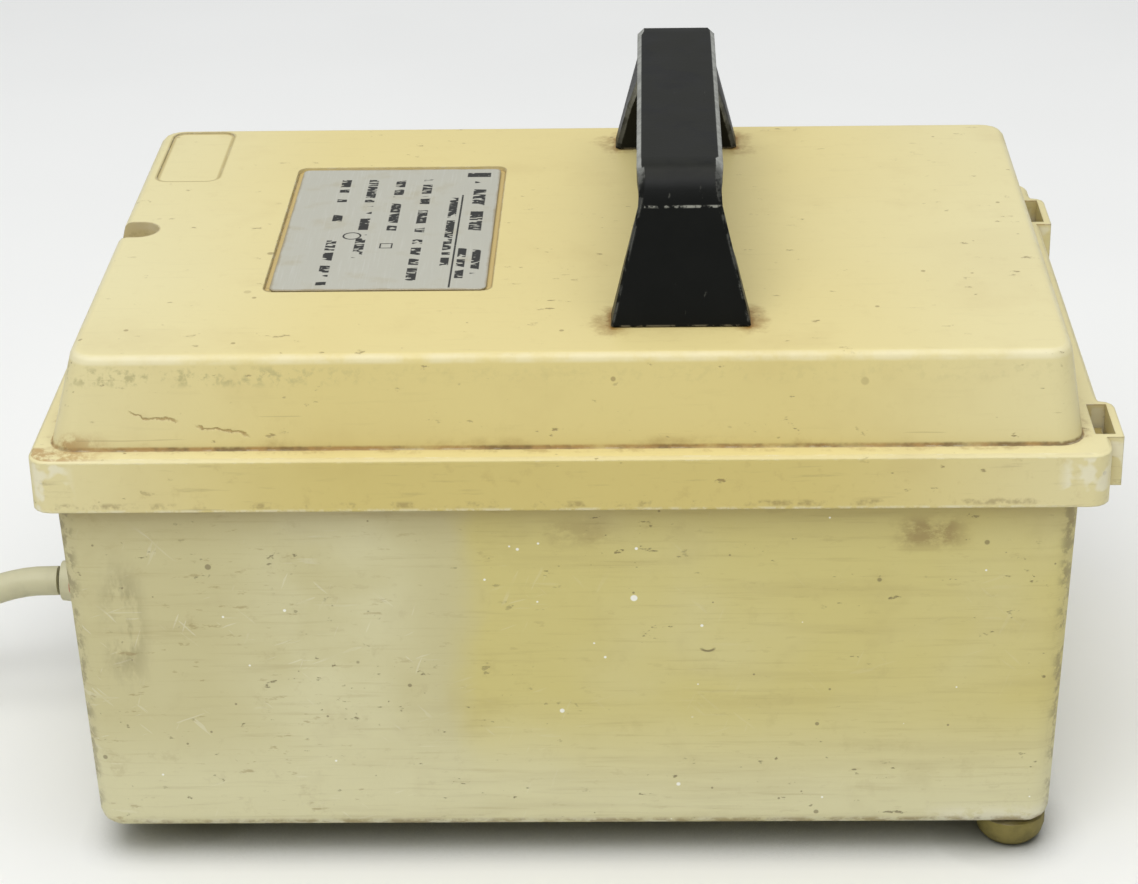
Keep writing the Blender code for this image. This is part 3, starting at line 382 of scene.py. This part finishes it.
    # Marks: small dark nicks, hair scratches, spots, and a crack in the front slope.
    nick = f.noise(2.6, 4, 0.65, (0.45, 1, 1), 21).rise(0.66, 0.72) * f.noise(30, 2, shift=3).rise(0.38, 0.54)
    hair = f.noise(2.2, 3, 0.5, (0.05, 1.6, 1.6), 37).rise(0.69, 0.72)
    spot = f.spots(13, 0.75, 0.30, 2).most(f.spots(19, 1.2, 0.22, 7))
    colour = f.mix(colour, lid["dirt"], (nick * 0.6).most(hair * (1.0 - top) * 0.2).most(spot * 0.5))
    crackX, crackZ = lid["crackStart"]
    path = crackZ - (f.x - crackX) * 0.20 + (f.noise(6, 4, 0.65, shift=12) - 0.5) * 5.0
    first, second = (f.x.within(*part, 1.0) for part in lid["crackParts"])
    length = first.most(second)
    wander = f.noise(2.5, 3, 0.7, shift=51)
    crack = abs(f.z - path).fall(0.05, 0.14 + wander * 0.5) * length * f.faceY.fall(-0.4, -0.2)
    colour = f.mix(colour, lid["stain"], crack * 0.65)

    # Worn edges: bright along the skirt's lower edge, partly wear and partly painted highlight; chipped paler
    # at both ends.
    lowEdgeWearAndHighlight = f.z.fall(seam + 0.3, seam + 1.0) * f.noise(5, 4, 0.7, shift=5).rise(0.42, 0.6)
    endChip = abs(f.x).rise(117, 121) * skirt * f.noise(8, 3, 0.5, shift=14).rise(0.5, 0.58)
    endChip = endChip * (1.0 - abs(f.faceX).rise(0.6, 0.95) * 0.85)
    # chips holds worn edges and end chips, and the painted highlight on the skirt's lower edge.
    chips = (worn * f.noise(4, 4, shift=8).rise(0.5, 0.62) * 0.5).most(lowEdgeWearAndHighlight * 0.45).most(endChip * 0.65)
    colour = f.mix(colour, lid["chip"], chips)
    underEdge = f.z.within(seam + 0.9, seam + 2.4, 0.5) * f.noise(7, 4, 0.7, shift=17).rise(0.5, 0.66) * skirt
    colour = f.mix(colour, lid["dirt"], underEdge * 0.45)
    # Painted shade: stain colour darkens the inner corners that the occlusion mask finds.
    colour = f.mix(colour, lid["stain"], f.corners(2.5) * (0.2 + cloud * 0.5) * 0.7)

    f.bump(grain * 0.35 - crack * 3.0 - nick * 1.4 - chips * 0.5 + cloud * 0.4, 0.16, 0.6)
    return f.done(colour, 0.34 + cloud * 0.22 + chips * 0.15)


tub = {
    "khaki": (0.60, 0.52, 0.19),
    "grey": (0.56, 0.505, 0.26),
    "pale": (0.68, 0.64, 0.39),
    "brown": (0.28, 0.19, 0.06),
    "dark": (0.13, 0.09, 0.035),
    "chip": (0.80, 0.77, 0.62),
    "fleck": (0.9, 0.89, 0.82),
    "underside": 8.0,
    "skirtEdge": 105.0,      # height at which the shade under the lid is darkest
    "greyEdge": -27.0,       # where the greyer half ends
    # Specks on the front: place along, height, radius. The dent is a place along and a height.
    "whiteSpecks": ((16.3, 77, 1.0), (17, 91, 0.45), (9, 60, 0.4), (-12, 91, 0.45), (33, 69, 0.45),
                    (-70, 74, 0.45)),
    "darkSpecks": ((-88, 86.5, 0.9), (62, 40, 0.6), (-40, 52, 0.6)),
    "dent": (34.5, 63.0),
    # Brown patches: left, right, bottom, top, strength.
    "blots": ((81, 96, 91, 99, 1.0), (-4, 10, 92, 99, 0.5)),
}


def makeTubFinish():
    f = Finish("aged khaki tub")
    underside, skirtEdge = tub["underside"], tub["skirtEdge"]
    worn = f.roundEdges(0.8)
    wide = f.noise(70, 3)
    cloud = f.noise(17, 4)
    grain = f.noise(1.2, 3)
    ragged = f.x + (wide - 0.5) * 26.0 + (cloud - 0.5) * 8.0
    colour = f.mix(tub["grey"], tub["khaki"], ragged.rise(tub["greyEdge"] - 6, tub["greyEdge"] + 6))
    colour = f.mix(colour, tub["pale"], (f.z + (wide - 0.5) * 26.0).fall(16, 52) * 0.9)
    faded = f.x.within(-78, -38, 14) * (wide + cloud * 0.4).rise(0.5, 0.85)
    colour = f.mix(colour, tub["pale"], faded * 0.75)
    colour = f.mix(colour, tub["pale"], wide.rise(0.5, 0.8) * 0.35)
    colour = f.mix(colour, tub["brown"], cloud.rise(0.54, 0.8) * 0.16)
    blotch = f.noise(8, 5, 0.7, shift=61).rise(0.56, 0.72)
    colour = f.mix(colour, tub["brown"], blotch * (0.10 + f.x.fall(-70, 0) * 0.10))

    # A dirty smear near the left end, and pale hair scratches in all directions beside it.
    smear = f.x.within(-114, -106, 3.5) * f.z.within(56, 84, 9)
    smear = smear * f.noise(6, 4, 0.7, (1, 1, 0.4), 63).rise(0.4, 0.62)
    colour = f.mix(colour, tub["dark"], smear * 0.45)
    hairs = f.noise(2.0, 2, 0.5, (0.12, 0.12, 1.2), 65).rise(0.68, 0.71) * 0.7
    for lean, shift in ((0.35, 67), (-0.8, 69), (1.2, 73)):
        hairs = hairs.most(f.hair(1.3, lean, shift))
    scraped = f.noise(22, 3, shift=71).rise(0.46, 0.62) * (0.2 + f.x.fall(-50, 10) * 0.8)
    colour = f.mix(colour, tub["chip"], hairs * scraped * 0.32)

    # Horizontal streaks and scuffs.
    streak = f.noise(1.3, 5, 0.65, (0.045, 0.045, 1)).rise(0.52, 0.72)
    broad = f.noise(6, 4, 0.6, (0.08, 0.08, 1), 11).rise(0.5, 0.75)
    colour = f.mix(colour, tub["brown"], streak * 0.16 + broad * 0.14)
    scuff = f.noise(2.6, 4, 0.7, (0.3, 0.3, 1), 31).rise(0.6, 0.68)
    patch = f.noise(36, 3, shift=23).rise(0.42, 0.6) * f.x.fall(-60, 20)
    colour = f.mix(colour, tub["brown"], scuff * (0.12 + patch * 0.35))

    # Painted shade: a darker band under the lid's skirt, with brown patches towards the right.
    paintedShadeUnderLid = f.z.rise(skirtEdge - 17, skirtEdge) * 0.36 + f.z.rise(skirtEdge - 7, skirtEdge) * 0.32
    colour = f.mix(colour, tub["brown"], paintedShadeUnderLid * (0.55 + wide * 0.5))
    spread = f.noise(5, 5, 0.7, (0.6, 0.6, 1), 53).rise(0.36, 0.58) * 0.75
    blot = None
    for left, right, bottom, high, strength in tub["blots"]:
        one = f.x.within(left, right, 4) * f.z.within(bottom, high, 2.5) * strength
        blot = one if blot is None else blot.most(one)
    colour = f.mix(colour, tub["brown"], blot * spread)

    # Nicks, dark specks, white specks.
    nick = f.noise(2.2, 4, 0.65, (0.5, 0.5, 1), 41).rise(0.66, 0.71) * f.noise(25, 2, shift=6).rise(0.4, 0.56)
    speck = f.spots(6, 0.4, 0.38, 4).most(f.spots(13, 0.8, 0.22, 9))
    speck = speck.most(f.placed(tub["darkSpecks"]))
    colour = f.mix(colour, tub["dark"], (nick * 0.65).most(speck * 0.6))
    white = f.spots(14, 0.75, 0.2, 3).most(f.spots(6.5, 0.38, 0.28, 5))
    white = white.most(f.placed(tub["whiteSpecks"]))
    colour = f.mix(colour, tub["fleck"], white * 0.9)
    dentX, dentZ = f.x - tub["dent"][0], f.z - tub["dent"][1]
    ring = f.maths("SQRT", dentX * dentX + dentZ * dentZ * 1.6)
    dent = ring.within(1.5, 2.1, 0.25) * dentZ.fall(-1.1, -0.3) * f.faceY.fall(-0.6, -0.3)
    colour = f.mix(colour, tub["dark"], dent * 0.7)

    # Corners and lower edge: worn through to a paler plastic, with dark chips.
    upright = abs(f.x).rise(119.2, 122) * f.faceY.fall(-0.4, -0.1)
    cornerDirt = upright * f.noise(4, 4, 0.7, shift=15).rise(0.44, 0.6)
    colour = f.mix(colour, tub["dark"], cornerDirt * 0.5)
    low = f.z.fall(underside + 1.5, underside + 4.5) * f.noise(4.5, 4, 0.7, (0.5, 0.5, 1), 18).rise(0.42, 0.6)
    lowRight = f.z.fall(underside + 1, underside + 9) * f.x.rise(85, 100)
    lowRight = lowRight * f.noise(5, 4, 0.7, shift=19).rise(0.38, 0.5)
    chips = (worn * f.noise(3, 4, shift=8).rise(0.46, 0.6) * 0.6).most(low * 0.55).most(lowRight * 0.8)
    colour = f.mix(colour, tub["chip"], chips)
    lowDirt = f.z.within(underside + 0.4, underside + 3.2, 0.8)
    lowDirt = lowDirt * f.noise(6, 4, 0.7, shift=27).rise(0.4, 0.6)
    colour = f.mix(colour, tub["brown"], lowDirt * 0.65)
    # Painted shade: dark colour in the inner corners that the occlusion mask finds.
    colour = f.mix(colour, tub["dark"], f.corners(5) * (0.2 + cloud * 0.4))

    f.bump(grain * 0.4 - nick * 1.5 - dent * 2.5 - chips * 0.5 + streak * 0.2 + cloud * 0.5, 0.16, 0.7)
    return f.done(colour, 0.42 + cloud * 0.2 + streak * 0.08)


handle = {
    "black": (0.004, 0.0045, 0.0035),
    "worn": (0.26, 0.26, 0.22),
    "dust": (0.019, 0.0195, 0.014),
    "filler": (0.30, 0.26, 0.17),     # pale dirt along the foot of each leg
    "paintedSheen": (0.36, 0.365, 0.33),     # painted sheen on the slanted sides
    "shine": 0.16,
    "centre": (28.2, 2.2),
    "foot": 140.8,
    "gripTop": 177.5,
    "bend": 169.0,       # height of the crease at the top of each leg
}


def makeHandleFinish():
    f = Finish("worn black handle")
    worn = f.roundEdges(0.6)
    cloud = f.noise(9, 4)
    grain = f.noise(0.8, 3)
    top = f.faceZ.rise(0.5, 0.9)
    onTop = top * f.z.rise(handle["gripTop"] - 3.5, handle["gripTop"] - 1.5)
    colour = f.mix(handle["black"], handle["dust"], onTop * (0.35 + cloud * 0.5))
    smudge = f.noise(14, 3, 0.6, shift=5).rise(0.5, 0.62) * top
    colour = f.mix(colour, handle["black"], smudge * 0.6)
    broken = f.noise(3.5, 4, 0.7, shift=3).rise(0.44, 0.56)
    centreX, centreY = handle["centre"]
    bend = handle["bend"]
    crease = f.z.within(bend - 0.3, bend + 0.2, 0.2) * abs(f.y - centreY).rise(57.5, 58.6)
    marks = (worn * broken * 0.4).most(crease * f.noise(2.2, 4, 0.7, shift=13).rise(0.45, 0.6) * 1.6)
    marks = marks.most(f.spots(11, 0.45, 0.18, 2) * 0.8)
    scratch = f.noise(1.6, 4, 0.6, (0.7, 0.12, 0.3), 9).rise(0.68, 0.74)
    colour = f.mix(colour, handle["worn"], marks.most(scratch * 0.2))
    low = f.z.fall(handle["foot"] + 0.1, handle["foot"] + 0.5) * broken
    colour = f.mix(colour, handle["filler"], low * 0.6)
    # Painted sheen: the slanted sides of the grip are painted light grey, fading along the legs.
    slanted = abs(f.faceX).within(0.3, 0.93, 0.05) * abs(f.x - centreX).rise(7, 8)
    onGrip = abs(f.y - centreY).fall(50, 58)
    paintedSheen = slanted * (onGrip * (0.6 + broken * 0.2 + cloud * 0.2) + (1.0 - onGrip) * broken * 0.13)
    colour = f.mix(colour, handle["paintedSheen"], paintedSheen)
    f.bump(grain * 0.5 + cloud * 0.4 - scratch * 0.6, 0.1, 0.5)
    f.shader.inputs["Specular IOR Level"].default_value = handle["shine"]
    return f.done(colour, 0.30 + cloud * 0.22 + marks * 0.2 - smudge * 0.06)


label = {
    "metal": (0.56, 0.55, 0.46),
    "bright": (0.70, 0.70, 0.64),
    "tarnish": (0.45, 0.40, 0.26),
    "edgeDirt": (0.30, 0.22, 0.09),
    "ink": (0.035, 0.035, 0.03),
    "plate": (-75.1, -20.4, -39.3, 45.6),
    # Printed rows: distance from the right edge, height, start and end of the row, coarseness of the dashes.
    "rows": ((5.0, 3.4, 9, 46, 5.2), (3.6, 2.2, 58, 78, 3.2), (7.4, 2.2, 58, 78, 3.2),
             (11.6, 2.2, 22, 70, 3.0), (19.5, 2.6, 8, 80, 3.4), (27.0, 2.6, 8, 46, 3.2),
             (34.5, 2.6, 8, 64, 3.4), (42.0, 2.6, 8, 40, 3.2), (42.0, 2.6, 52, 82, 3.4)),
    # Solid bars: from, to and softness down from the right edge, then the same along a row.
    "bars": ((9.2, 9.7, 0.1, 20, 84, 0.2), (2.6, 9.0, 0.12, 3.2, 6.4, 0.12)),
    # Middle, inner and outer size of the ring and of the square.
    "ring": (37.0, 49.0, 2.0, 2.5),
    "square": (27.5, 56.0, 1.3, 1.7),
}


def makeLabelFinish():
    f = Finish("printed metal label")
    f.roundEdges(0.2)
    left, right, front, back = label["plate"]
    down = right - f.x                 # from the label's upper edge
    along = back - f.y                 # along a row
    cloud = f.noise(9, 4)
    brushed = f.noise(0.5, 3, 0.6, (1, 0.03, 1))
    ink = None
    for place, height, start, end, coarse in label["rows"]:
        dash = f.noise(coarse, 1, 0.4, (0.25, 1, 0), place * 3.7).rise(0.455, 0.475)
        stem = f.noise(0.9, 0, 0.4, (0.5, 1, 0), place * 5.1).rise(0.30, 0.38)
        row = down.within(place - height / 2, place + height / 2, 0.12) * along.within(start, end, 0.12)
        row = row * dash * stem
        ink = row if ink is None else ink.most(row)
    for near, far, softDown, start, end, softAlong in label["bars"]:
        ink = ink.most(down.within(near, far, softDown) * along.within(start, end, softAlong))
    ringDown, ringAlong, inner, outer = label["ring"]
    ringX, ringY = down - ringDown, along - ringAlong
    ink = ink.most(f.maths("SQRT", ringX * ringX + ringY * ringY).within(inner, outer, 0.12))
    squareDown, squareAlong, inner, outer = label["square"]
    squareX, squareY = abs(down - squareDown), abs(along - squareAlong)
    ink = ink.most(squareX.most(squareY).within(inner, outer, 0.1))
    ink = ink * f.noise(1.1, 3, shift=6).fall(0.62, 0.75)
    colour = f.mix(label["metal"], label["tarnish"], cloud.rise(0.5, 0.8) * 0.5)
    colour = f.mix(colour, label["bright"], brushed.rise(0.5, 0.8) * 0.35)
    colour = f.mix(colour, label["ink"], ink)
    edge = boxDistance(f, left, right, front, back, 1.8)
    colour = f.mix(colour, label["edgeDirt"], (edge + (cloud - 0.5) * 1.6).rise(-0.8, 0.0) * 0.6)
    f.bump(brushed * 0.3 + cloud * 0.4, 0.04, 0.5)
    return f.done(colour, 0.42 + cloud * 0.2, 0.35)


settledDust = (0.38, 0.34, 0.24)


def makeFinish(name, spec):
    # General finish of a small part; spec is one row of smallParts.
    f = Finish(name)
    worn = f.roundEdges(spec.get("round", 0.25))
    size = spec.get("size", 6.0)
    cloud = f.noise(size, 4)
    grain = f.noise(size / 7, 3, shift=3)
    base = spec["colour"]
    darker = tuple(part * 0.55 for part in base)
    colour = f.mix(base, darker, cloud.rise(0.42, 0.75) * spec.get("uneven", 0.5))
    height = grain * 0.5 + cloud * 0.4
    if "stripes" in spec:
        axis, pitch, depth = spec["stripes"]
        across = {"x": f.x, "y": f.y, "z": f.z}[axis]
        wave = abs(((across / pitch) % 1.0) - 0.5) * 2.0
        groove = wave.rise(0.62, 0.98)
        colour = f.mix(colour, tuple(part * 0.22 for part in base), groove * 0.8)
        height = height * 0.3 - groove * depth
    scratch = f.noise(size / 4, 3, 0.5, (0.12, 1, 1), 7).rise(0.64, 0.70)
    lighter = tuple(min(1.0, part * 1.6 + 0.04) for part in base)
    marks = (worn * f.noise(size / 2, 3, shift=5).rise(0.4, 0.6)).most(scratch * 0.4)
    colour = f.mix(colour, lighter, marks * spec.get("wear", 0.5))
    # Painted shade: the spec's dirt colour darkens the inner corners that the occlusion mask finds.
    colour = f.mix(colour, spec.get("dirt", (0.06, 0.045, 0.02)), f.corners(3) * 0.55)
    dust = spec.get("dust", 0.0)
    if dust:
        settled = f.faceZ.rise(0.2, 0.9) * f.noise(size * 2, 4, shift=9).rise(0.3, 0.7)
        colour = f.mix(colour, settledDust, settled * dust)
    f.bump(height, spec.get("depth", 0.08), 0.6)
    rough = spec["rough"] + (cloud - 0.5) * 0.25 + marks * 0.1
    return f.done(colour, rough, spec.get("metal", 0.0), spec.get("coat", 0.0))


# size is the width of the patches; stripes are an axis, their pitch and their depth; dirt is the colour of
# the painted shade in inner corners.
smallParts = {
    "black_plastic": {"colour": (0.022, 0.022, 0.024), "rough": 0.38, "size": 7, "dust": 0.10, "wear": 0.35},
    "grey_plastic": {"colour": (0.30, 0.30, 0.275), "rough": 0.45, "size": 8, "dust": 0.15},
    "white_plastic": {"colour": (0.70, 0.68, 0.60), "rough": 0.42, "size": 8, "dust": 0.15, "wear": 0.2},
    "red_plastic": {"colour": (0.46, 0.03, 0.02), "rough": 0.35, "size": 4},
    "zinc_steel": {"colour": (0.60, 0.58, 0.52), "rough": 0.34, "metal": 1.0, "size": 4, "uneven": 0.45},
    "core_steel": {"colour": (0.16, 0.145, 0.13), "rough": 0.42, "metal": 0.7, "size": 12,
                   "stripes": ("y", 1.0, 0.8), "dust": 0.12},
    "copper_wire": {"colour": (0.62, 0.21, 0.07), "rough": 0.30, "metal": 1.0, "size": 9,
                    "stripes": ("z", 1.3, 1.6), "depth": 0.2},
    "winding_tape": {"colour": (0.60, 0.50, 0.22), "rough": 0.45, "size": 12, "stripes": ("z", 18.0, 0.5),
                     "coat": 0.3},
    "brass": {"colour": (0.74, 0.50, 0.19), "rough": 0.28, "metal": 1.0, "size": 4},
    "foot_rubber": {"colour": (0.22, 0.18, 0.045), "rough": 0.75, "size": 5, "dust": 0.6, "uneven": 0.7,
                    "dirt": (0.20, 0.16, 0.07)},
    "cord_sheath": {"colour": (0.57, 0.54, 0.35), "rough": 0.5, "size": 6, "uneven": 0.18, "wear": 0.15,
                    "dirt": (0.16, 0.14, 0.08)},
    "brown_wire": {"colour": (0.15, 0.055, 0.02), "rough": 0.42, "size": 5, "dust": 0.08},
    "blue_wire": {"colour": (0.03, 0.13, 0.42), "rough": 0.42, "size": 5, "dust": 0.08},
    "green_wire": {"colour": (0.10, 0.36, 0.05), "rough": 0.42, "size": 5, "dust": 0.08},
}

finishes = {slotName: makeFinish(slotName.replace("_", " "), spec) for slotName, spec in smallParts.items()}
finishes["lid_plastic"] = makeLidFinish()
finishes["tub_plastic"] = makeTubFinish()
finishes["plate_metal"] = makeLabelFinish()
finishes["handle"] = makeHandleFinish()
print("finishes made")

slotOf = {part["node"]: part["material_slot"] for part in frame["record"]["subparts"]}


def steadyNormals(made):
    # Wide plane faces keep their own direction; only the narrow ones between them blend.
    weighted = made.modifiers.new("weighted", "WEIGHTED_NORMAL")
    weighted.keep_sharp = True
    graph = bpy.context.evaluated_depsgraph_get()
    made.data = bpy.data.meshes.new_from_object(made.evaluated_get(graph))
    made.modifiers.clear()


def addPiece(name, bm, body, slotName, nodes, finishName=None, smoothBelow=38):
    for face in bm.faces:
        face.smooth = True
    for edge in bm.edges:
        edge.smooth = not edge.is_manifold or edge.calc_face_angle(0.0) < math.radians(smoothBelow)
    mesh = bpy.data.meshes.new(name)
    bm.to_mesh(mesh)
    bm.free()
    mesh.materials.append(finishes[finishName or slotName])
    made = bpy.data.objects.new(name, mesh)
    bpy.context.scene.collection.objects.link(made)
    steadyNormals(made)
    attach(made, body)
    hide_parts(*nodes)
    return made


def startFrom(node):
    # The node's own shape as one joined skin with plain faces.
    bm = bmesh.new()
    bm.from_mesh(frame["nodes"][node].data)
    bmesh.ops.remove_doubles(bm, verts=bm.verts, dist=0.004 * mm)
    flat = math.radians(0.4)
    bmesh.ops.dissolve_limit(bm, angle_limit=flat, verts=bm.verts, edges=bm.edges)
    bmesh.ops.recalc_face_normals(bm, faces=bm.faces)
    return bm


def roundOff(bm, width, above=42, segments=2):
    sharp = [edge for edge in bm.edges
             if edge.is_manifold and edge.calc_face_angle(0.0) > math.radians(above)]
    bmesh.ops.bevel(bm, geom=sharp, offset=width * mm, offset_type="OFFSET", segments=segments,
                    profile=0.5, affect="EDGES", clamp_overlap=True, material=-1)


bodyOf = {node: body_of(item)[0] for node, item in frame["nodes"].items()}
soft = ("case_lid", "case_tub", "carry_handle")     # their roundings are in their own shape
cordParts = ("mains_cord", "cord_coil", "cord_tie")
special = {"carry_handle": "handle", "cord_bushing": "cord_sheath"}     # finishes other than the slot's own
edgeRound = 0.25     # millimetres
for node in frame["nodes"]:
    if node in cordParts:
        continue
    shape = startFrom(node)
    if node not in soft:
        roundOff(shape, edgeRound)
    addPiece(node + "_fine", shape, bodyOf[node], slotOf[node], [node], special.get(node))
print("pieces refined")

lead = {
    "radius": 4.15,
    "exit": (-145.3, 0.0, 36.0),
    "straight": 3.0,         # how far it leaves the bushing before it droops
    "reach": 80.0,           # and how far it then goes until it lies on the floor
    "coilCentre": (-255.0, 45.5),
    "outerTurn": 53.85,
    "pitch": 8.35,           # distance between turns that lie beside each other
    "lowTurns": 3.0,
    "climb": 1 / 3,          # share of a turn in which it rises to the upper layer
    "topTurns": 5 / 3,
    "topPitch": 12.5,
    "plug": (-33, -54, 8),   # where it enters the plug, from the middle of the coil
    "stepsInTurn": 30,
    "stepsInDrop": 24,
    "stepsToCoil": 6,
    "stepsToPlug": 8,
}


def leadLine(spec):
    # The free stretch, three turns inward on the floor, then nearly two outward on top of them.
    floor = spec["radius"] + 0.1
    startX, _, startZ = spec["exit"]
    centreX, centreY = spec["coilCentre"]
    joinY = centreY - spec["outerTurn"]
    drop = startZ - floor
    points = [Vector(spec["exit"])]
    for step in range(1, spec["stepsInDrop"] + 1):
        share = step / spec["stepsInDrop"]
        x = startX - spec["straight"] - spec["reach"] * share
        z = floor + drop * (1 + math.cos(math.pi * share)) / 2
        points.append(Vector((x, joinY * share ** 2, z)))
    landedX = points[-1].x
    for step in range(1, spec["stepsToCoil"]):
        points.append(Vector((landedX + (centreX - landedX) * step / spec["stepsToCoil"], joinY, floor)))
    total = spec["lowTurns"] + spec["climb"] + spec["topTurns"]
    count = round(total * spec["stepsInTurn"])
    innerTurn = spec["outerTurn"] - spec["pitch"] * spec["lowTurns"]
    for step in range(count + 1):
        turned = total * step / count
        angle = math.radians(-90) - 2 * math.pi * turned
        risen = min(max((turned - spec["lowTurns"]) / spec["climb"], 0), 1)
        risen = risen * risen * (3 - 2 * risen)
        radius = max(spec["outerTurn"] - spec["pitch"] * turned, innerTurn)
        radius += spec["topPitch"] * max(turned - spec["lowTurns"] - spec["climb"], 0)
        points.append(Vector((centreX + radius * math.cos(angle), centreY + radius * math.sin(angle),
                              floor + risen * spec["pitch"])))
    last = points[-1]
    away = Vector((centreX, centreY, floor)) + Vector(spec["plug"]) - last
    for step in range(1, spec["stepsToPlug"] + 1):
        share = step / spec["stepsToPlug"]
        eased = share * share * (3 - 2 * share)
        points.append(last + Vector((away.x * share, away.y * eased, away.z * eased)))
    return [point * mm for point in points]


leadPoints = leadLine(lead)
curve = bpy.data.curves.new("mains_lead", "CURVE")
curve.dimensions = "3D"
curve.bevel_depth = lead["radius"] * mm
curve.bevel_resolution = 5
curve.use_fill_caps = True
spline = curve.splines.new("POLY")
spline.points.add(len(leadPoints) - 1)
for point, place in zip(spline.points, leadPoints):
    point.co = (*place, 1.0)
spline.use_smooth = True
curve.materials.append(finishes["cord_sheath"])
mainsLead = bpy.data.objects.new("mains_lead", curve)
bpy.context.scene.collection.objects.link(mainsLead)
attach(mainsLead, "case")
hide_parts("mains_cord", "cord_coil")
leadLength = sum((second - first).length for first, second in zip(leadPoints, leadPoints[1:]))
print("mains lead", round(leadLength, 4), "m")

tie = {
    "x": -255.0,
    "halfWidth": 3.0,
    "thick": 1.1,
    "bend": 3.0,
    # Distance out from the middle of the coil, and height.
    "outline": ((25.3, 0.1), (25.3, 18.1), (48.5, 18.1), (55.2, 9.5), (55.2, 0.1)),
}


def makeTie(spec):
    # A flat strap bent over the turns, on the side of the coil away from the plug.
    centreY = lead["coilCentre"][1]
    bm = bmesh.new()
    edgeX = spec["x"] - spec["halfWidth"]
    verts = [bm.verts.new((edgeX * mm, (centreY + out) * mm, up * mm)) for out, up in spec["outline"]]
    edges = [bm.edges.new(pair) for pair in zip(verts, verts[1:])]
    bends = [vert for vert in verts if len(vert.link_edges) == 2]
    bmesh.ops.bevel(bm, geom=bends, offset=spec["bend"] * mm, segments=5, profile=0.5,
                    affect="VERTICES", material=-1)
    wide = bmesh.ops.extrude_edge_only(bm, edges=list(bm.edges))
    moved = [item for item in wide["geom"] if isinstance(item, bmesh.types.BMVert)]
    bmesh.ops.translate(bm, verts=moved, vec=(2 * spec["halfWidth"] * mm, 0, 0))
    bmesh.ops.recalc_face_normals(bm, faces=bm.faces)
    bmesh.ops.solidify(bm, geom=list(bm.faces), thickness=spec["thick"] * mm)
    return bm


tiePiece = addPiece("lead_tie", makeTie(tie), "case", slotOf["cord_tie"], ["cord_tie"])

stage = {
    "floor": (0.91, 0.91, 0.88),
    "gap": (0.16, 0.16, 0.11),      # painted contact shadow in the narrow gap under the case
    "sky": (0.93, 0.95, 1.0),
    "skyLow": 0.20,          # strength at the level
    "skyHigh": 0.55,         # strength high up
    "skyTurn": 0.7,          # height of a direction, 0 to 1, above which the sky is at its full strength
}

# Lamps: place, the point that each faces, size, power in watts, colour.
lamps = {
    "overhead": ((0.05, -0.22, 1.6), (0, -0.10, 0), (1.7, 1.5), 14.2, (1.0, 0.995, 0.985)),
    "fill": ((-0.5, -1.3, 1.75), (0, -0.1, 0), (1.6, 1.2), 16.4, (0.98, 0.99, 1.0)),
}


def makeFloor(spec):
    bm = bmesh.new()
    bmesh.ops.create_grid(bm, x_segments=1, y_segments=1, size=6)
    mesh = bpy.data.meshes.new("floor")
    bm.to_mesh(mesh)
    bm.free()
    f = Finish("paper floor")
    shaded = tuple(part * 0.97 for part in spec["floor"])
    colour = f.mix(spec["floor"], shaded, f.noise(300, 3).rise(0.3, 0.7))
    # Painted contact shadow round and under the case, from the occlusion mask.
    colour = f.mix(colour, spec["gap"], f.corners(13, False) * 0.85)
    mesh.materials.append(f.done(colour, 0.7))
    made = bpy.data.objects.new("floor", mesh)
    bpy.context.scene.collection.objects.link(made)


def addLight(name, place, target, size, power, colour):
    data = bpy.data.lights.new(name, "AREA")
    data.shape = "RECTANGLE"
    data.size, data.size_y = size
    data.energy = power
    data.color = colour
    made = bpy.data.objects.new(name, data)
    bpy.context.scene.collection.objects.link(made)
    made.location = place
    made.rotation_euler = (Vector(target) - Vector(place)).to_track_quat("-Z", "Y").to_euler()


makeFloor(stage)
for lampName, lamp in lamps.items():
    addLight(lampName, *lamp)


def makeSky(spec):
    # Bright overhead, dimmer towards the level, so that gaps near the floor stay dark.
    world = bpy.data.worlds.new("studio")
    world.use_nodes = True
    nodes, links = world.node_tree.nodes, world.node_tree.links
    where = nodes.new("ShaderNodeTexCoord")
    parts = nodes.new("ShaderNodeSeparateXYZ")
    height = nodes.new("ShaderNodeMapRange")
    height.inputs["From Min"].default_value = 0.0
    height.inputs["From Max"].default_value = spec["skyTurn"]
    height.inputs["To Min"].default_value = spec["skyLow"]
    height.inputs["To Max"].default_value = spec["skyHigh"]
    links.new(where.outputs["Generated"], parts.inputs[0])
    links.new(parts.outputs["Z"], height.inputs["Value"])
    background = nodes["Background"]
    background.inputs["Color"].default_value = (*spec["sky"], 1.0)
    links.new(height.outputs[0], background.inputs["Strength"])
    bpy.context.scene.world = world


makeSky(stage)
print("floor and light placed")
bpy.context.scene.view_settings.view_transform = "Standard"
